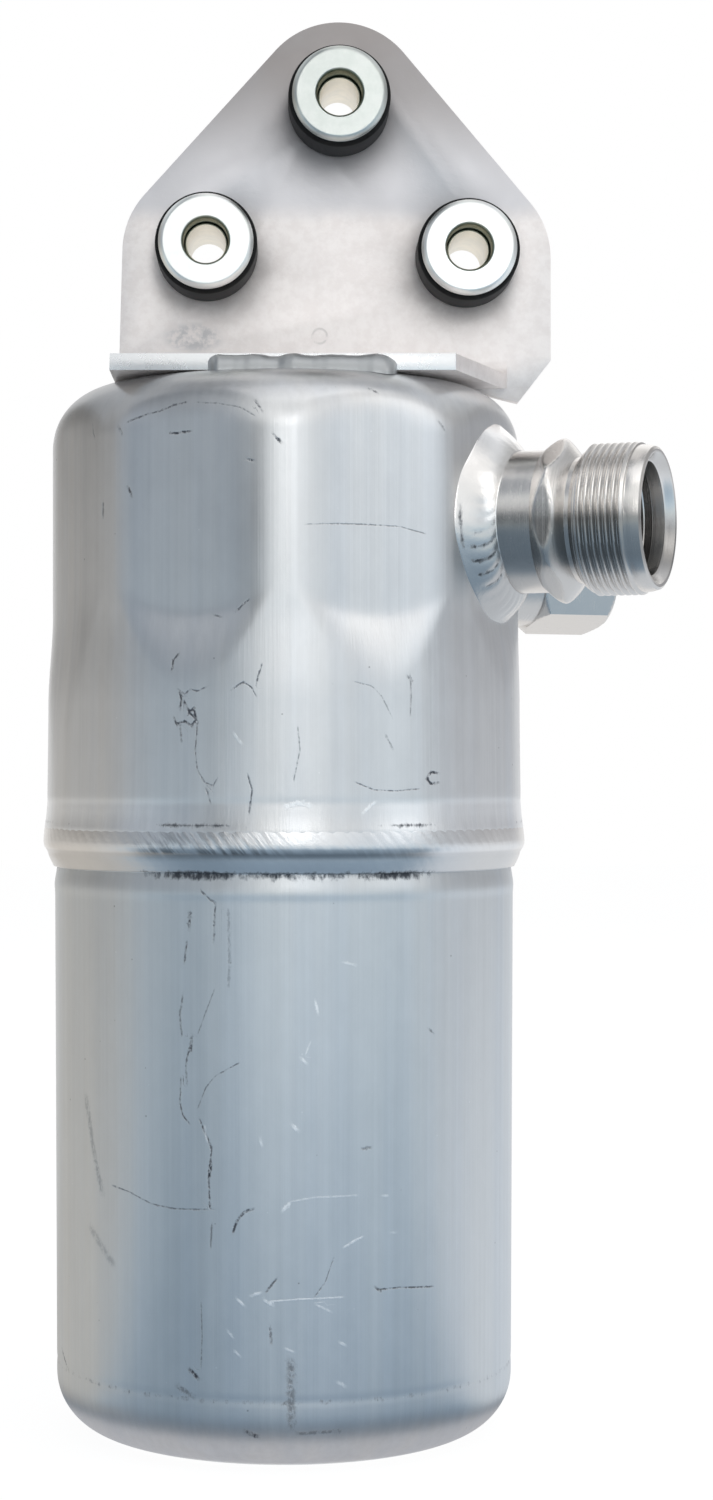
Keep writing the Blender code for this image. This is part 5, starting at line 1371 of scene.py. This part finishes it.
def shown_white(f):
    """1 where the camera, or metal or glass, looks at the white background."""
    path = f.tree.nodes.new("ShaderNodeLightPath")
    kinds = [Wire(f, path.outputs[name])
             for name in ("Is Camera Ray", "Is Glossy Ray", "Is Transmission Ray")]
    return (kinds[0] + kinds[1] + kinds[2]).clamp()


def studio_world():
    world = bpy.data.worlds.new("studio_world")
    bpy.context.scene.world = world
    f = Finish("studio_world", world)
    background = f.tree.nodes["Background"]
    tone = f.mix(shown_white(f), (0.5, 0.51, 0.53), (1.0, 1.0, 1.0))
    f.tree.links.new(tone.socket, background.inputs["Color"])
    background.inputs["Strength"].default_value = 1.0


def studio_floor():
    mesh = bpy.data.meshes.new("studio_floor")
    half = 3.0
    mesh.from_pydata([(-half, -half, 0), (half, -half, 0), (half, half, 0), (-half, half, 0)], [],
                     [(0, 1, 2, 3)])
    floor = bpy.data.objects.new("studio_floor", mesh)
    bpy.context.scene.collection.objects.link(floor)
    f = Finish("studio_floor")
    f.set(base_color=(0.80, 0.80, 0.80), roughness=0.9)
    f.shader.inputs["Specular IOR Level"].default_value = 0.0
    glow = f.tree.nodes.new("ShaderNodeEmission")
    glow.inputs["Color"].default_value = (1, 1, 1, 1)
    glow.inputs["Strength"].default_value = 1.09
    blend = f.tree.nodes.new("ShaderNodeMixShader")
    f.tree.links.new((shown_white(f) * 0.86).socket, blend.inputs[0])
    f.tree.links.new(f.shader.outputs[0], blend.inputs[1])
    f.tree.links.new(glow.outputs[0], blend.inputs[2])
    f.tree.links.new(blend.outputs[0], f.tree.nodes["Material Output"].inputs["Surface"])
    mesh.materials.append(f.owner)


def studio_card(name, points, faces, plain, cards, by_distance):
    """A soft glowing card that only the part's skin and the light see."""
    mesh = bpy.data.meshes.new(name)
    mesh.from_pydata(points, [], faces)
    card = bpy.data.objects.new(name, mesh)
    bpy.context.scene.collection.objects.link(card)
    f = Finish(name)
    x, y, z = f.parts(f.position())
    azimuth = f.node("ShaderNodeMath", {"operation": "ARCTAN2"}, [x, 0 - y])
    distance = (x * x + y * y) ** 0.5
    level = f.node("ShaderNodeMath", {"operation": "ARCTAN2"}, [z - DOME_CENTRE_HEIGHT, distance])

    def inside(value, low, high, soft):
        return value.step(low - soft, low + soft) * (1 - value.step(high - soft, high + soft))

    tone = None
    for colour, around, reach in cards.values():
        around = [math.radians(angle) for angle in around]
        if by_distance:
            share = inside(azimuth, *around) * inside(distance, *reach)
        else:
            share = inside(azimuth, *around) * inside(level, *(math.radians(a) for a in reach))
        tone = f.mix(share, tone or plain, colour)
    glow = f.tree.nodes.new("ShaderNodeEmission")
    f.tree.links.new(tone.socket, glow.inputs["Color"])
    f.tree.links.new(glow.outputs[0], f.tree.nodes["Material Output"].inputs["Surface"])
    mesh.materials.append(f.owner)
    card.visible_camera = False
    card.visible_shadow = False
    return card


def studio_dome():
    azimuths = np.radians(np.linspace(-DOME_OPEN_AZIMUTH, DOME_OPEN_AZIMUTH, 41))
    rises = np.radians(np.linspace(0, 90, 13))
    points = [(DOME_RADIUS * math.cos(e) * math.sin(a), -DOME_RADIUS * math.cos(e) * math.cos(a),
               DOME_RADIUS * math.sin(e)) for e in rises for a in azimuths]
    count = len(azimuths)
    faces = [(r * count + c, r * count + c + 1, (r + 1) * count + c + 1, (r + 1) * count + c)
             for r in range(len(rises) - 1) for c in range(count - 1)]
    studio_card("studio_dome", points, faces, DOME_WALL, DOME_CARDS, False)


def studio_table():
    azimuths = np.radians(np.linspace(-DOME_OPEN_AZIMUTH, DOME_OPEN_AZIMUTH, 61))
    reaches = (0.0356, DOME_RADIUS)
    points = [(r * math.sin(a), -r * math.cos(a), 0.0001) for r in reaches for a in azimuths]
    count = len(azimuths)
    faces = [(c, c + 1, count + c + 1, count + c) for c in range(count - 1)]
    table = studio_card("studio_table", points, faces, TABLE_TOP, TABLE_CARDS, True)
    table.visible_diffuse = False


def port_flag():
    """A narrow card before the outlet port: black at its level, white above."""
    centre = Vector((0.054, -0.022, OUTLET_HEIGHT))
    bearing = math.radians(FLAG_AZIMUTH)
    toward = Vector((math.sin(bearing), -math.cos(bearing), 0))
    across = Vector((math.cos(bearing), math.sin(bearing), 0))
    points, glow = [], []
    for degrees in range(FLAG_FOOT, FLAG_HEAD + 1, 2):
        rise = math.radians(degrees)
        middle = centre + toward * FLAG_REACH + Vector((0, 0, FLAG_REACH * math.tan(rise)))
        points += [middle - across * FLAG_HALF_WIDTH, middle + across * FLAG_HALF_WIDTH]
        glow += [float(smooth_step(degrees, FLAG_WHITE_FROM - 3, FLAG_WHITE_FROM + 3))] * 2
    faces = [(i, i + 1, i + 3, i + 2) for i in range(0, len(points) - 2, 2)]
    mesh = bpy.data.meshes.new("port_flag")
    mesh.from_pydata([tuple(point) for point in points], [], faces)
    flag = bpy.data.objects.new("port_flag", mesh)
    bpy.context.scene.collection.objects.link(flag)
    paint(flag, "glow", glow)
    f = Finish("port_flag")
    tone = f.mix(f.attribute("glow"), FLAG_BLACK, FLAG_WHITE)
    glowing = f.tree.nodes.new("ShaderNodeEmission")
    f.tree.links.new(tone.socket, glowing.inputs["Color"])
    f.tree.links.new(glowing.outputs[0], f.tree.nodes["Material Output"].inputs["Surface"])
    mesh.materials.append(f.owner)
    flag.visible_camera = False
    flag.visible_shadow = False
    flag.visible_diffuse = False


def soft_box(name, azimuth, elevation, distance, width, height, power, colour=(1, 1, 1)):
    """A rectangular light that looks at the can's axis."""
    light = bpy.data.lights.new(name, "AREA")
    light.shape = "RECTANGLE"
    light.size = width
    light.size_y = height
    light.energy = power
    light.color = colour
    box = bpy.data.objects.new(name, light)
    bpy.context.scene.collection.objects.link(box)
    a, e = math.radians(azimuth), math.radians(elevation)
    outward = Vector((math.sin(a) * math.cos(e), -math.cos(a) * math.cos(e), math.sin(e)))
    box.location = Vector((0, 0, DOME_CENTRE_HEIGHT)) + outward * distance
    box.rotation_euler = outward.to_track_quat("Z", "Y").to_euler()


studio_world()
studio_floor()
studio_dome()
studio_table()
port_flag()
soft_box("front_high_box", 6, 16, 1.2, 0.16, 0.34, 0.45)
soft_box("right_box", 58, 22, 1.3, 0.5, 0.7, 0.8, (0.97, 0.99, 1.0))
soft_box("top_box", 20, 72, 1.2, 0.9, 0.7, 1.6)
soft_box("back_box", 160, 35, 1.4, 1.0, 0.8, 1.0)

camera_data = bpy.data.cameras.new("photo_camera")
camera_data.sensor_width = SENSOR_WIDTH
camera_data.lens = FOCAL_PIXELS / PHOTO_HEIGHT * SENSOR_WIDTH
camera_data.shift_x = (PHOTO_WIDTH / 2 - AXIS_PIXEL[0]) / PHOTO_HEIGHT
camera_data.shift_y = (AXIS_PIXEL[1] - PHOTO_HEIGHT / 2) / PHOTO_HEIGHT
camera_data.clip_start = 0.01
camera_data.clip_end = 20.0
camera = bpy.data.objects.new("photo_camera", camera_data)
bpy.context.scene.collection.objects.link(camera)
camera.location = (0, -CAMERA_DISTANCE, CAMERA_HEIGHT)
camera.rotation_euler = (math.radians(90), 0, 0)
bpy.context.scene.camera = camera
bpy.context.scene.view_settings.view_transform = "Standard"
